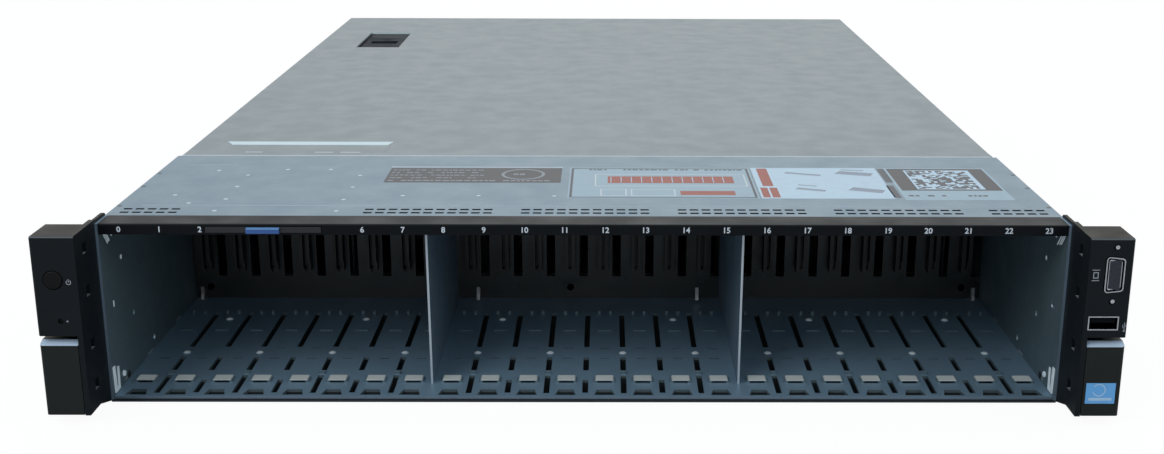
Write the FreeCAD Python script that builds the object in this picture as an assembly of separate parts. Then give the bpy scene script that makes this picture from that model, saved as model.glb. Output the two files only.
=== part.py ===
import FreeCAD, Part
import math
import os

# A 2U rack server with 24 upright drive bays, built as separate pieces.
# While it is modelled, x = 0 is the middle, y = 0 is the front face of the bay header, y grows
# towards the rear and z = 0 is the underside. export_all() then centres the whole on y.
# All lengths are millimetres.

# ---------------------------------------------------------------- driving dimensions
BAY_COUNT = 24
BAYS_PER_GROUP = 8
BAY_PITCH = 18.4
BODY_HEIGHT = 86.8
EAR_WIDTH = 19.8            # each rack ear, beside the chassis wall
SHEET = 1.2                 # chassis sheet thickness
GAP = 0.3                   # clearance between pieces that move past each other
RUNNING = 0.05              # radial clearance of a pin or shaft in its bore

HEADER_HEIGHT = 5.0
HEADER_DEPTH = 14.5
HEADER_WALL = 2.0
FLOOR_SHEET = 1.4           # second sheet that carries the drives
DIVIDER_SHEET = 1.0
BACKPLANE_FRONT = 146.0
BOARD_THICKNESS = 2.4
PLATE_SETBACK = 10.0        # the fixed top plate ends this far ahead of the backplane
CAGE_OVERRUN = 1.6          # drive cage walls behind the backplane
WALL_STEP = 3.5             # the side walls step inwards behind the drive cage
STEP_RUN = 4.0

VENT_LENGTH = 4.0
VENT_WIDTH = 2.3
VENT_PITCH = 5.6
VENT_ROWS = (20.0, 26.0)
VENTS_PER_GROUP = 11
VENTS_AT_END = 5

EAR_REACH = 27.5            # ear front ahead of the header face
EAR_RISE = 1.9              # ear top above the body
EAR_BOTTOM = 4.8
EAR_WALL = 2.4              # inner wall of an ear, beside the lever
EAR_BACK = 1.8
CAVITY_DROP = 44.1          # lever cavity's upper edge, below the top
RACK_HOLE_SPACING = 465.1   # between the left and right rack posts' holes
LEVER_PLATE = 2.5
LEVER_BARREL = 3.5
LEVER_PIN = 1.5

TAG_WIDTH = 52.5
TAG_BAY = 3.57              # bay position of the tag's middle
TAG_LENGTH = 80.0

FAN_COUNT = 6
FAN_SIZE = 60.0
FAN_DEPTH = 38.0
FAN_AISLE = 50.0            # backplane front to fan front
FAN_MARGIN = 7.3            # fan row to side wall
FAN_WALL = 1.7              # thinnest wall of a fan frame
FAN_HUB = 13.0
FAN_BLADES = 7
FAN_SHAFT = 1.5
BLADE_SHEET = 1.2

BOARD_TOP = 10.6            # upper face of the system board
BOARD_AISLE = 12.0          # fan rear to board front
DIMM_LENGTH = 133.0
DIMM_SETBACK = 18.0         # board front to memory sockets
DIMM_SOCKET_LAP = 3.0       # socket beyond each end of its module
SUPPLY_AISLE = 41.0         # memory sockets to power supplies
SUPPLY_WIDTH = 86.0
SUPPLY_HEIGHT = 39.5
SUPPLY_LENGTH = 240.0
SUPPLY_REACH = 24.0         # handle behind the rear wall

# ---------------------------------------------------------------- derived sizes
V = FreeCAD.Vector
BODY_WIDTH = BAY_COUNT * BAY_PITCH + 2 * SHEET
HALF = BODY_WIDTH / 2
INNER = HALF - SHEET
REAR_HALF = HALF - WALL_STEP
REAR_INNER = REAR_HALF - SHEET
FLOOR_TOP = SHEET + FLOOR_SHEET
PLATE_UNDER = BODY_HEIGHT - SHEET
PLATE_END = BACKPLANE_FRONT - PLATE_SETBACK
CAGE_END = BACKPLANE_FRONT + BOARD_THICKNESS + CAGE_OVERRUN
HEADER_BOTTOM = BODY_HEIGHT - HEADER_HEIGHT
COVER_WALL_TOP = PLATE_UNDER - GAP
EAR_OUT = HALF + EAR_WIDTH
TAG_X = (TAG_BAY - (BAY_COUNT - 1) / 2) * BAY_PITCH
DIVIDER_X = (BAY_COUNT / 2 - BAYS_PER_GROUP) * BAY_PITCH
FAN_FRONT = BACKPLANE_FRONT + FAN_AISLE
FAN_REAR = FAN_FRONT + FAN_DEPTH
BOARD_FRONT = FAN_REAR + BOARD_AISLE
DIMM_Y = BOARD_FRONT + DIMM_SETBACK
DIMM_END = DIMM_Y + DIMM_LENGTH + 2 * DIMM_SOCKET_LAP
SUPPLY_FRONT = DIMM_END + SUPPLY_AISLE
BODY_DEPTH = SUPPLY_FRONT + SUPPLY_LENGTH
REAR_FACE = BODY_DEPTH - SHEET

AXES = {"x": V(1, 0, 0), "y": V(0, 1, 0), "z": V(0, 0, 1)}


# ---------------------------------------------------------------- modelling helpers
def at(axis, a, b, along):
    """A point from its two coordinates across an axis and its one along it."""
    if axis == "x":
        return V(along, a, b)
    if axis == "y":
        return V(a, along, b)
    return V(a, b, along)


def box(x0, x1, y0, y1, z0, z1):
    return Part.makeBox(x1 - x0, y1 - y0, z1 - z0, V(x0, y0, z0))


def rod(axis, a, b, radius, start, end):
    return Part.makeCylinder(radius, end - start, at(axis, a, b, start), AXES[axis])


def rect(a0, a1, b0, b1):
    return [(a0, b0), (a1, b0), (a1, b1), (a0, b1)]


def loop(axis, points, along):
    corners = [at(axis, a, b, along) for a, b in points]
    return Part.makePolygon(corners + corners[:1])


def ring(axis, a, b, radius, along):
    return Part.Wire(Part.makeCircle(radius, at(axis, a, b, along), AXES[axis]))


def sheet(axis, outline, holes, start, end, rings=()):
    """A flat plate with polygon holes and round holes, (a, b, radius)."""
    wires = [loop(axis, outline, start)]
    wires += [loop(axis, hole, start) for hole in holes]
    wires += [ring(axis, a, b, radius, start) for a, b, radius in rings]
    face = Part.makeFace(wires, "Part::FaceMakerBullseye")
    return face.extrude(AXES[axis] * (end - start))


def prism(axis, points, start, end):
    return Part.Face(loop(axis, points, start)).extrude(AXES[axis] * (end - start))


def join(shapes):
    first, *rest = shapes
    return first.fuse(rest).removeSplitter() if rest else first


def group(shapes):
    return Part.makeCompound(list(shapes))


def mirrored(shape):
    return shape.mirror(V(0, 0, 0), V(1, 0, 0))


def turned(shape, axis, degrees, centre=V(0, 0, 0)):
    copy = shape.copy()
    copy.rotate(centre, AXES[axis], degrees)
    return copy


def moved(shape, x=0.0, y=0.0, z=0.0):
    copy = shape.copy()
    copy.translate(V(x, y, z))
    return copy


def rounded(shape, axis, radius, wanted=lambda middle: True):
    """Fillet the straight edges that run along an axis and whose middle is wanted."""
    edges = []
    for edge in shape.Edges:
        if not isinstance(edge.Curve, Part.Line):
            continue
        direction = edge.tangentAt(edge.FirstParameter)
        if abs(direction.dot(AXES[axis])) > 0.999 and wanted(edge.CenterOfMass):
            edges.append(edge)
    return shape.makeFillet(radius, edges)


# ---------------------------------------------------------------- bay positions
def bay_x(index):
    """Middle of a drive bay."""
    return (index - (BAY_COUNT - 1) / 2) * BAY_PITCH


def boundary_x(index):
    """Line between bay index and bay index + 1."""
    return bay_x(index) + BAY_PITCH / 2


BAYS = range(BAY_COUNT)
BOUNDARIES = [index for index in range(BAY_COUNT - 1) if (index + 1) % BAYS_PER_GROUP]

# ---------------------------------------------------------------- rear panel lay-out
RJ_SIZE = (15.9, 13.5)
RJ_DEPTH = 18.0
RJ_PITCH = 17.5
RJ_PROUD = 0.4
RJ_MOUTH = ((11.8, 4.0, 11.0), (6.2, 2.0, 5.0))   # width, low and high edge over the board
RJ_MOUTH_DEPTH = 14.0
RJ_ROW = [REAR_INNER - 190.3 + RJ_PITCH * step for step in range(4)]
RJ_ALONE = REAR_INNER - 14.3
USB_SIZE = (13.6, 6.5)
USB_WALL = 0.5
USB_DEPTH = 12.0
USB_PROUD = 0.2
REAR_USB_X = REAR_INNER - 113.3
REAR_USB_Z = (BOARD_TOP + 3.6, BOARD_TOP + 11.4)
VIDEO_X = REAR_INNER - 85.3
SERIAL_X = REAR_INNER - 46.3
D_FLANGE_HEIGHT = 10.4
D_FLANGE_WIDTH = 30.8
D_REAR_Z = BOARD_TOP + 9.4
SUPPLY_WALL_GAP = 1.0
SUPPLY_SPACING = SUPPLY_WIDTH + 3.0
SUPPLY_X = [-REAR_INNER + SUPPLY_WALL_GAP + SUPPLY_WIDTH / 2 + step * SUPPLY_SPACING
            for step in range(2)]
SUPPLY_BASE = SHEET + GAP
SHELF_Z = SUPPLY_BASE + SUPPLY_HEIGHT + GAP
SLOT_COLUMNS = 3
SLOT_ROWS = 2
SLOT_WIDE = 100.0
SLOT_PITCH = 115.0
SLOT_INSET = 57.3           # side wall to the middle of the first slot
SLOT_BAR = 5.4              # wall between two rows of slots
SLOT_CROWN = 6.0            # wall above the slots
SLOT_LAP = 4.0
SLOT_STEP = (COVER_WALL_TOP - SLOT_CROWN - SHELF_Z - SHEET) / SLOT_ROWS
SLOT_TALL = SLOT_STEP - SLOT_BAR
SLOT_X = [-REAR_INNER + SLOT_INSET + SLOT_PITCH * step for step in range(SLOT_COLUMNS)]
SLOT_Z = [SHELF_Z + SHEET + SLOT_STEP * (step + 0.5) for step in range(SLOT_ROWS)]


def window(x, z, wide, tall, margin=GAP):
    return rect(x - wide / 2 - margin, x + wide / 2 + margin, z - tall / 2 - margin,
                z + tall / 2 + margin)


def rear_windows():
    """Openings of the rear panel round each port, slot and supply, as outlines in x and z."""
    jack_z = BOARD_TOP + RJ_SIZE[1] / 2
    row_width = RJ_ROW[-1] - RJ_ROW[0] + RJ_SIZE[0]
    windows = [window((RJ_ROW[0] + RJ_ROW[-1]) / 2, jack_z, row_width, RJ_SIZE[1]),
               window(RJ_ALONE, jack_z, *RJ_SIZE)]
    windows += [window(REAR_USB_X, z, *USB_SIZE) for z in REAR_USB_Z]
    windows += [window(x, D_REAR_Z, D_FLANGE_WIDTH, D_FLANGE_HEIGHT) for x in (VIDEO_X, SERIAL_X)]
    windows += [rect(x - SUPPLY_WIDTH / 2 - GAP, x + SUPPLY_WIDTH / 2 + GAP, 0, SHELF_Z)
                for x in SUPPLY_X]
    windows += [window(x, z, SLOT_WIDE, SLOT_TALL, 0) for x in SLOT_X for z in SLOT_Z]
    return windows


# ---------------------------------------------------------------- chassis
STUD_FIRST = 40.0
STUD_PITCH = 180.0
STUD_COUNT = 4
STUD_Z = 50.0
STUD_NECK = 3.0
STUD_HEAD = 4.5
STUD_LENGTH = 5.0
STUD_RIM = 1.5


def both_sides(points):
    """Close a right-hand outline of (x, y) points with its mirror image."""
    return points + [(-x, y) for x, y in reversed(points)]


def rear_tray_plan(inset, end):
    """Plan of the tray behind the drive cage, with the inward step of its walls."""
    return both_sides([(HALF - inset, CAGE_END), (REAR_HALF - inset, CAGE_END + STEP_RUN),
                       (REAR_HALF - inset, end)])


def chassis_base():
    """Folded tray: a floor under the whole server and the stepped walls behind the drive cage."""
    floor = prism("z", both_sides([(HALF, 0), (HALF, CAGE_END), (REAR_HALF, CAGE_END + STEP_RUN),
                                   (REAR_HALF, BODY_DEPTH)]), 0, SHEET)
    walls = prism("z", rear_tray_plan(0, BODY_DEPTH), SHEET, COVER_WALL_TOP)
    hollow = prism("z", rear_tray_plan(SHEET, BODY_DEPTH + 1), SHEET, BODY_HEIGHT)
    return join([floor, walls.cut(hollow)])


def rear_panel():
    """Upright sheet between the side walls, with a window for each port, slot and supply."""
    panel = box(-REAR_INNER, REAR_INNER, REAR_FACE, BODY_DEPTH, SHEET, COVER_WALL_TOP)
    return panel.cut([prism("y", points, REAR_FACE - 1, BODY_DEPTH + 1) for points in rear_windows()])


def rail_studs():
    """Shouldered studs that hang the server in its sliding rails."""
    studs = []
    for side in (-1, 1):
        for step in range(STUD_COUNT):
            y = STUD_FIRST + step * STUD_PITCH
            wall = HALF if y < CAGE_END else REAR_HALF
            neck = rod("x", y, STUD_Z, STUD_NECK, wall, wall + STUD_LENGTH)
            head = rod("x", y, STUD_Z, STUD_HEAD, wall + STUD_LENGTH - STUD_RIM,
                       wall + STUD_LENGTH)
            stud = neck.fuse(head).removeSplitter()
            studs.append(mirrored(stud) if side < 0 else stud)
    return group(studs)


# ---------------------------------------------------------------- drive cage
FLOOR_FRONT = 1.0
WALL_HOLES = ((28.5, 62.6), (12.5, 44.0), (38.0, 31.5), (66.0, 8.7), (16.5, 9.0))
WALL_HOLE_RADIUS = 1.5
NOTCH = ((10.0, 2.8), (7.0, 9.4))          # width and y at the notch's front and rear
BRIDGE_WIDTH = 8.0
BRIDGE_Y = (18.2, 24.2)
BRIDGE_RISE = 1.5
BRIDGE_LEG = 1.4
SLOT_WIDTH = 2.8
LONG_FRONT_SLOT = (5.0, 27.5)
SHORT_FRONT_SLOT = (5.5, 21.7)
MIDDLE_SLOT = (34.3, 52.3)
REAR_SLOT = (67.0, 119.5)
SLIT_Y = (50.5, 65.0)
SLIT_SIZE = (5.0, 1.0)
PAD_Y = 92.6
PAD_SIZE = (6.7, 3.0)
PAD_RISE = 0.5
POST_Y = 117.0
POST_SPREAD = 3.1
POST_SIZE = (1.4, 0.8, 2.2)
DIMPLE_ROW_Y = 58.0
DIMPLE_REAR_Y = 108.4
DIMPLE_REAR_BAYS = (1, 5, 9, 14, 18, 22)
DIMPLE_RADIUS = 2.2
DIMPLE_TOP = 1.0
DIMPLE_RISE = 0.8
STOP_SIZE = (2.6, 1.6, 1.4)
STOP_Y = 29.2


def floor_bridge(x):
    """A lance pushed up out of the floor as a low bridge with sloping legs."""
    half = BRIDGE_WIDTH / 2
    inner_rise = BRIDGE_RISE - FLOOR_SHEET / 2
    points = [(-half - BRIDGE_LEG, 0), (-half, BRIDGE_RISE), (half, BRIDGE_RISE),
              (half + BRIDGE_LEG, 0), (half + BRIDGE_LEG, -FLOOR_SHEET / 2), (half, -FLOOR_SHEET / 2),
              (half - BRIDGE_LEG / 2, inner_rise), (-half + BRIDGE_LEG / 2, inner_rise),
              (-half, -FLOOR_SHEET / 2), (-half - BRIDGE_LEG, -FLOOR_SHEET / 2)]
    return prism("y", [(x + a, FLOOR_TOP + b) for a, b in points], *BRIDGE_Y)


def bay_floor():
    """Sheet the drives stand on: keyed notches, guide slots, lances, dimples and stops."""
    holes = []
    raised = []
    (wide, front), (narrow, rear) = NOTCH
    for index in BAYS:
        x = bay_x(index)
        holes.append([(x - wide / 2, front), (x + wide / 2, front), (x + narrow / 2, rear),
                      (x - narrow / 2, rear)])
        holes.append(rect(x - BRIDGE_WIDTH / 2, x + BRIDGE_WIDTH / 2, *BRIDGE_Y))
        for y in SLIT_Y:
            holes.append(rect(x - SLIT_SIZE[0] / 2, x + SLIT_SIZE[0] / 2,
                              y - SLIT_SIZE[1] / 2, y + SLIT_SIZE[1] / 2))
        raised.append(floor_bridge(x))
        raised.append(box(x - PAD_SIZE[0] / 2, x + PAD_SIZE[0] / 2, PAD_Y - PAD_SIZE[1] / 2,
                          PAD_Y + PAD_SIZE[1] / 2, FLOOR_TOP, FLOOR_TOP + PAD_RISE))
        for side in (-1, 1):
            post_x = x + side * POST_SPREAD
            raised.append(box(post_x - POST_SIZE[0] / 2, post_x + POST_SIZE[0] / 2, POST_Y,
                              POST_Y + POST_SIZE[1], FLOOR_TOP, FLOOR_TOP + POST_SIZE[2]))
    for index in range(BAY_COUNT - 1):
        x = boundary_x(index)
        left, right = x - SLOT_WIDTH / 2, x + SLOT_WIDTH / 2
        under_divider = (index + 1) % BAYS_PER_GROUP == 0
        if not under_divider:
            for slot in (MIDDLE_SLOT, REAR_SLOT):
                holes.append(rect(left, right, *slot))
        if index % 2 == 0:
            holes.append(rect(left, right, *LONG_FRONT_SLOT))
            raised.append(box(x - STOP_SIZE[0] / 2, x + STOP_SIZE[0] / 2, STOP_Y,
                              STOP_Y + STOP_SIZE[1], FLOOR_TOP, FLOOR_TOP + STOP_SIZE[2]))
            raised.append(Part.makeCone(DIMPLE_RADIUS, DIMPLE_TOP, DIMPLE_RISE,
                                        V(x, DIMPLE_ROW_Y, FLOOR_TOP)))
        elif not under_divider:
            holes.append(rect(left, right, *SHORT_FRONT_SLOT))
    for index in DIMPLE_REAR_BAYS:
        raised.append(Part.makeCone(DIMPLE_RADIUS, DIMPLE_TOP, DIMPLE_RISE,
                                    V(bay_x(index), DIMPLE_REAR_Y, FLOOR_TOP)))
    outline = rect(-INNER, INNER, FLOOR_FRONT, CAGE_END)
    floor = sheet("z", outline, holes, SHEET, FLOOR_TOP)
    return floor.fuse(raised)


def drive_cage():
    """One folded sheet: the bay floor and the two side walls of the drive bays."""
    walls = []
    for side in (-1, 1):
        outline = [(0, SHEET), (CAGE_END, SHEET), (CAGE_END, COVER_WALL_TOP),
                   (PLATE_END, COVER_WALL_TOP), (PLATE_END, PLATE_UNDER),
                   (HEADER_DEPTH, PLATE_UNDER), (HEADER_DEPTH, BODY_HEIGHT), (0, BODY_HEIGHT)]
        rings = [(y, z, WALL_HOLE_RADIUS) for y, z in WALL_HOLES]
        left = -HALF if side < 0 else INNER
        walls.append(sheet("x", outline, [], left, left + SHEET, rings))
    return join([bay_floor()] + walls)


def bay_divider(x):
    """Upright sheet between two groups of bays, leaning back a little at its foot."""
    plate_bottom = PLATE_UNDER - LIP_DROP
    outline = [(DIVIDER_FOOT, FLOOR_TOP), (DIVIDER_BROW, HEADER_BOTTOM - GAP),
               (LEDGE_END + GAP, HEADER_BOTTOM - GAP), (LEDGE_END + GAP, PLATE_UNDER),
               (LIP_FRONT - GAP, PLATE_UNDER), (LIP_FRONT - GAP, plate_bottom - GAP),
               (DIVIDER_END, plate_bottom - GAP), (DIVIDER_END, FLOOR_TOP)]
    return prism("x", outline, x - DIVIDER_SHEET / 2, x + DIVIDER_SHEET / 2)


# ---------------------------------------------------------------- header and top plate
LEDGE_END = HEADER_DEPTH + 3.0
LEDGE_THICKNESS = 1.2
LIP_DROP = 1.5
LIP_FRONT = PLATE_END - 6.0
LIP_END = PLATE_END + 6.0
DIVIDER_FOOT = 17.0
DIVIDER_BROW = 12.0
DIVIDER_END = BACKPLANE_FRONT - 4.0
GROOVE_WIDTH = 0.8
GROOVE_DEPTH = 0.35
BEND_Y = 33.0
SHORT_GROOVE = (11.0, 39.0, 115.6)   # from the plate's left edge, and y
FLANGE_DROP = 4.5


def header_section():
    return [(0, HEADER_BOTTOM), (HEADER_WALL, HEADER_BOTTOM),
            (HEADER_WALL, BODY_HEIGHT - HEADER_WALL),
            (HEADER_DEPTH - HEADER_WALL, BODY_HEIGHT - HEADER_WALL),
            (HEADER_DEPTH - HEADER_WALL, PLATE_UNDER - LEDGE_THICKNESS),
            (LEDGE_END, PLATE_UNDER - LEDGE_THICKNESS), (LEDGE_END, PLATE_UNDER),
            (HEADER_DEPTH, PLATE_UNDER), (HEADER_DEPTH, BODY_HEIGHT), (0, BODY_HEIGHT)]


def front_header():
    """Moulded beam over the bay mouths, with the mouth of the tag and stiffening ribs."""
    beam = prism("x", header_section(), -INNER + GAP, INNER - GAP)
    beam = rounded(beam, "x", 0.8, lambda p: p.y < 0.1 and p.z > BODY_HEIGHT - 0.1)
    mouth = box(TAG_X - TAG_WIDTH / 2 - GAP, TAG_X + TAG_WIDTH / 2 + GAP, -1, HEADER_WALL + 1,
                TAG_BAR_Z[0] - GAP, TAG_BAR_Z[1] + GAP)
    ribs = [box(boundary_x(index) - 0.6, boundary_x(index) + 0.6, HEADER_WALL, HEADER_DEPTH - 2,
                HEADER_BOTTOM + 1, BODY_HEIGHT - HEADER_WALL)
            for index in BOUNDARIES if abs(boundary_x(index) - TAG_X) > TAG_WIDTH / 2 + 4]
    return join([beam.cut(mouth)] + ribs)


def vent_group(centre, count):
    holes = []
    for y in VENT_ROWS:
        for step in range(count):
            x = centre + (step - (count - 1) / 2) * VENT_PITCH
            holes.append(rect(x - VENT_LENGTH / 2, x + VENT_LENGTH / 2,
                              y - VENT_WIDTH / 2, y + VENT_WIDTH / 2))
    return holes


def front_top_plate():
    """Fixed sheet over the drive cage: vent rows, bend grooves, side flanges and a rear lip."""
    holes = []
    group_pitch = BAYS_PER_GROUP / 2 * BAY_PITCH
    for step in (-1, 0, 1, 2):
        holes += vent_group(step * group_pitch, VENTS_PER_GROUP)
    for side in (-1, 1):
        holes += vent_group(side * (HALF - BAY_PITCH), VENTS_AT_END)
    plate = sheet("z", rect(-HALF, HALF, HEADER_DEPTH, PLATE_END), holes, PLATE_UNDER, BODY_HEIGHT)
    groove = BODY_HEIGHT - GROOVE_DEPTH
    left, right, y = SHORT_GROOVE
    left, right = left - HALF, right - HALF
    cuts = [box(-INNER + 10, INNER - 10, BEND_Y - GROOVE_WIDTH / 2, BEND_Y + GROOVE_WIDTH / 2,
                groove, BODY_HEIGHT + 1),
            box(left, right, y - GROOVE_WIDTH / 2, y + GROOVE_WIDTH / 2, groove, BODY_HEIGHT + 1)]
    lip = prism("x", [(LIP_FRONT, PLATE_UNDER - LIP_DROP), (LIP_END, PLATE_UNDER - LIP_DROP),
                      (LIP_END, COVER_WALL_TOP), (PLATE_END, COVER_WALL_TOP),
                      (PLATE_END, PLATE_UNDER), (LIP_FRONT, PLATE_UNDER)], -INNER + 3, INNER - 3)
    flange = box(INNER - GAP / 2 - SHEET, INNER - GAP / 2, LEDGE_END + 1, LIP_FRONT - 1,
                 PLATE_UNDER - FLANGE_DROP, PLATE_UNDER)
    return join([plate.cut(cuts), lip, flange, mirrored(flange)])


# ---------------------------------------------------------------- information tag
TAG_BAR_Z = (HEADER_BOTTOM + 0.9, BODY_HEIGHT - 1.3)
TAG_BAR_DEPTH = 2.2
TAG_TONGUE_Z = (HEADER_BOTTOM + 1.1, HEADER_BOTTOM + 2.3)
TAG_TONGUE_WIDTH = TAG_WIDTH - 1.6
TAG_PULL_WIDTH = 15.0
TAG_PULL_REACH = 1.8
HOLDER_FLOOR = 0.9


def information_tag():
    """Front bar and long tongue of the pull-out tag, with a rounded end and a retaining notch."""
    half = TAG_TONGUE_WIDTH / 2
    bar = box(TAG_X - TAG_WIDTH / 2, TAG_X + TAG_WIDTH / 2, 0, TAG_BAR_DEPTH, *TAG_BAR_Z)
    tongue = box(TAG_X - half, TAG_X + half, TAG_BAR_DEPTH, TAG_LENGTH, *TAG_TONGUE_Z)
    tongue = rounded(tongue, "z", 4.0, lambda p: p.y > TAG_LENGTH - 1)
    return join([bar, tongue])


def tag_pull():
    """Coloured finger grip on the front of the tag."""
    half = TAG_PULL_WIDTH / 2
    low, high = TAG_BAR_Z
    outline = [(0, low - 0.4), (-TAG_PULL_REACH, low), (-TAG_PULL_REACH, high - 0.8), (0, high - 0.3)]
    return prism("x", outline, TAG_X - half, TAG_X + half)


def tag_holder():
    """Channel under the top plate that the tag's tongue slides in."""
    half = TAG_TONGUE_WIDTH / 2 + GAP
    base = TAG_TONGUE_Z[0] - GAP - HOLDER_FLOOR
    outline = [(-half - 1, PLATE_UNDER), (-half - 1, base), (half + 1, base), (half + 1, PLATE_UNDER),
               (half, PLATE_UNDER), (half, base + HOLDER_FLOOR), (-half, base + HOLDER_FLOOR),
               (-half, PLATE_UNDER)]
    channel = prism("y", [(TAG_X + a, b) for a, b in outline], LEDGE_END + GAP, TAG_LENGTH + 12)
    stop = box(TAG_X - half, TAG_X + half, TAG_LENGTH + 10, TAG_LENGTH + 12, base + HOLDER_FLOOR,
               PLATE_UNDER)
    return join([channel, stop])


# ---------------------------------------------------------------- backplane
WINDOW_SHIFT = -2.7
WINDOW_WIDTH = 4.7
WINDOW_Z = (FLOOR_TOP + 12.9, BODY_HEIGHT - 20.8)
SOCKET_SHIFT = -1.0
SOCKET_WIDTH = 5.6
SOCKET_Z = (FLOOR_TOP + 17.4, BODY_HEIGHT - 24.8)
SOCKET_REACH = 8.0
SOCKET_SLOT = 1.8
BOARD_HOLE = 2.0
BOARD_HOLE_BAYS = (0, 11, 23)
BOARD_HOLE_Z = (9.0, BODY_HEIGHT - 11.8)


def backplane_board():
    """Upright circuit board with one tall air opening beside each drive socket."""
    half = INNER - GAP
    holes = []
    for index in BAYS:
        x = boundary_x(index) + WINDOW_SHIFT
        holes.append(rect(x - WINDOW_WIDTH / 2, x + WINDOW_WIDTH / 2, *WINDOW_Z))
    top = PLATE_UNDER - LIP_DROP - GAP
    rings = [(bay_x(index) - 1, z, BOARD_HOLE) for index in BOARD_HOLE_BAYS for z in BOARD_HOLE_Z]
    return sheet("y", rect(-half, half, FLOOR_TOP, top), holes, BACKPLANE_FRONT,
                 BACKPLANE_FRONT + BOARD_THICKNESS, rings)


def backplane_connectors():
    """One upright drive socket per bay, with a slot for the drive's edge and a keying step."""
    sockets = []
    low, high = SOCKET_Z
    for index in BAYS:
        x = bay_x(index) + SOCKET_SHIFT
        front = BACKPLANE_FRONT - SOCKET_REACH
        body = box(x - SOCKET_WIDTH / 2, x + SOCKET_WIDTH / 2, front, BACKPLANE_FRONT, low, high)
        slot = box(x - SOCKET_SLOT / 2, x + SOCKET_SLOT / 2, front - 1, front + 5, low + 2, high - 2)
        key = box(x, x + SOCKET_WIDTH, front - 1, front + 3, low - 1, low + 6)
        sockets.append(body.cut([slot, key]))
    return group(sockets)


GUIDE_X = (-INNER + 4.0, -62.0, 61.0, INNER - 4.0)


def backplane_guides():
    """Hooked posts that hold the foot of the backplane."""
    outline = [(BACKPLANE_FRONT - 4.0, FLOOR_TOP), (BACKPLANE_FRONT, FLOOR_TOP),
               (BACKPLANE_FRONT, FLOOR_TOP + 5.0), (BACKPLANE_FRONT - 1.0, FLOOR_TOP + 7.0),
               (BACKPLANE_FRONT - 2.5, FLOOR_TOP + 7.0), (BACKPLANE_FRONT - 2.5, FLOOR_TOP + 3.0)]
    return group(prism("x", outline, x - 0.9, x + 0.9) for x in GUIDE_X)


# ---------------------------------------------------------------- ears and levers
EAR_TOP = BODY_HEIGHT + EAR_RISE
EAR_EDGE = 1.6
EAR_BROW = 1.0
SHOULDER = (7.5, 3.0)       # step behind the ear's cap: its depth and drop
FOOT_RUN = 14.0
FOOT_Z = 0.6
TONGUE_THICKNESS = 1.5
TONGUE_END = 32.0
TONGUE_Z = (12.0, BODY_HEIGHT - 8.8)
CREST_END = 16.0            # the tongue's raised front part
CREST_DROP = 0.4
CREST_RADIUS = 3.0
POCKETS = ((12.4, 6.8), (12.2, 26.5), (11.2, 51.3), (11.6, 70.9))   # behind the front, below the top
POCKET_SIZE = (4.6, 5.0, 2.0)
CAVITY_TOP = BODY_HEIGHT - CAVITY_DROP
PIVOT_Y = LEVER_BARREL + GAP - EAR_REACH
PIVOT_Z = EAR_BOTTOM + LEVER_BARREL
LEVER_IN = HALF + EAR_WALL + GAP
LEVER_FLANK = 1.5
LEVER_FLANK_END = -5.0
LEVER_FLANK_RADIUS = 33.5
LEVER_FOOT = EAR_BOTTOM + 0.3
LIP_Z = CAVITY_TOP - 4.5
LEDGE_Z = CAVITY_TOP - 2.9
LEDGE_END_Y = 13.0 - EAR_REACH
LEDGE_RUN = 4.2
LEDGE_SHEET = 1.5
HOOK_THICKNESS = 2.4
HOOK_Z = (9.5, 16.0)
HOOK_END = 7.5
HOOK_NOTCH = (2.6, 13.2)    # y and z of the notch's front lower corner
HOOK_SLOT_Z = (HOOK_Z[0] - 1.5, CAVITY_TOP - 3.4)
PIN_SEAT = 2.0
SCREW_Z = 28.0
SCREW_RADIUS = 2.5
SCREW_NECK = 1.9            # the thinner neck that keeps the screw captive in the ear
SCREW_NECK_END = 0.5
SCREW_SEAT = 0.6            # depth of the wider mouth in the rack face that takes the shank's end
SCREW_HEAD = 3.6
SCREW_HEAD_DEPTH = 5.0
SCREW_SLOT = (1.0, 2.0)
SCREW_REACH = 7.0
POWER_X = -(HALF + 10.7)
POWER_Z = BODY_HEIGHT - 18.0
POWER_RADIUS = 4.2
POWER_BORE_DEPTH = 9.0
POWER_LENGTH = 6.9
POWER_PROUD = 0.6
POWER_RIM = 0.8
SERVICE_X = -(HALF + 9.1)
SERVICE_Z = BODY_HEIGHT - 37.1
SERVICE_RADIUS = 1.0
SERVICE_RECESS = 1.0
SERVICE_LENGTH = 4.7
SERVICE_BORE_DEPTH = 7.0
PORT_X = HALF + 11.7
PORT_Z = BODY_HEIGHT - 14.7
PORT_SKIN = 1.2
PORT_WINDOW = 17.6
FRONT_USB_X = HALF + 8.7
FRONT_USB_Z = BODY_HEIGHT - 37.3
PORT_POCKET = 13.0


def ear_tongue():
    """Plate of the left ear along the chassis wall, higher at its front."""
    low, high = TONGUE_Z
    crest = EAR_TOP - CREST_DROP
    outline = [(0, low), (TONGUE_END, low), (TONGUE_END, high), (CREST_END, high),
               (CREST_END, crest), (0, crest)]
    plate = prism("x", outline, -HALF - TONGUE_THICKNESS, -HALF)
    return rounded(plate, "x", CREST_RADIUS, lambda p: p.y > 1 and p.z > crest - 0.1)


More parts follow.
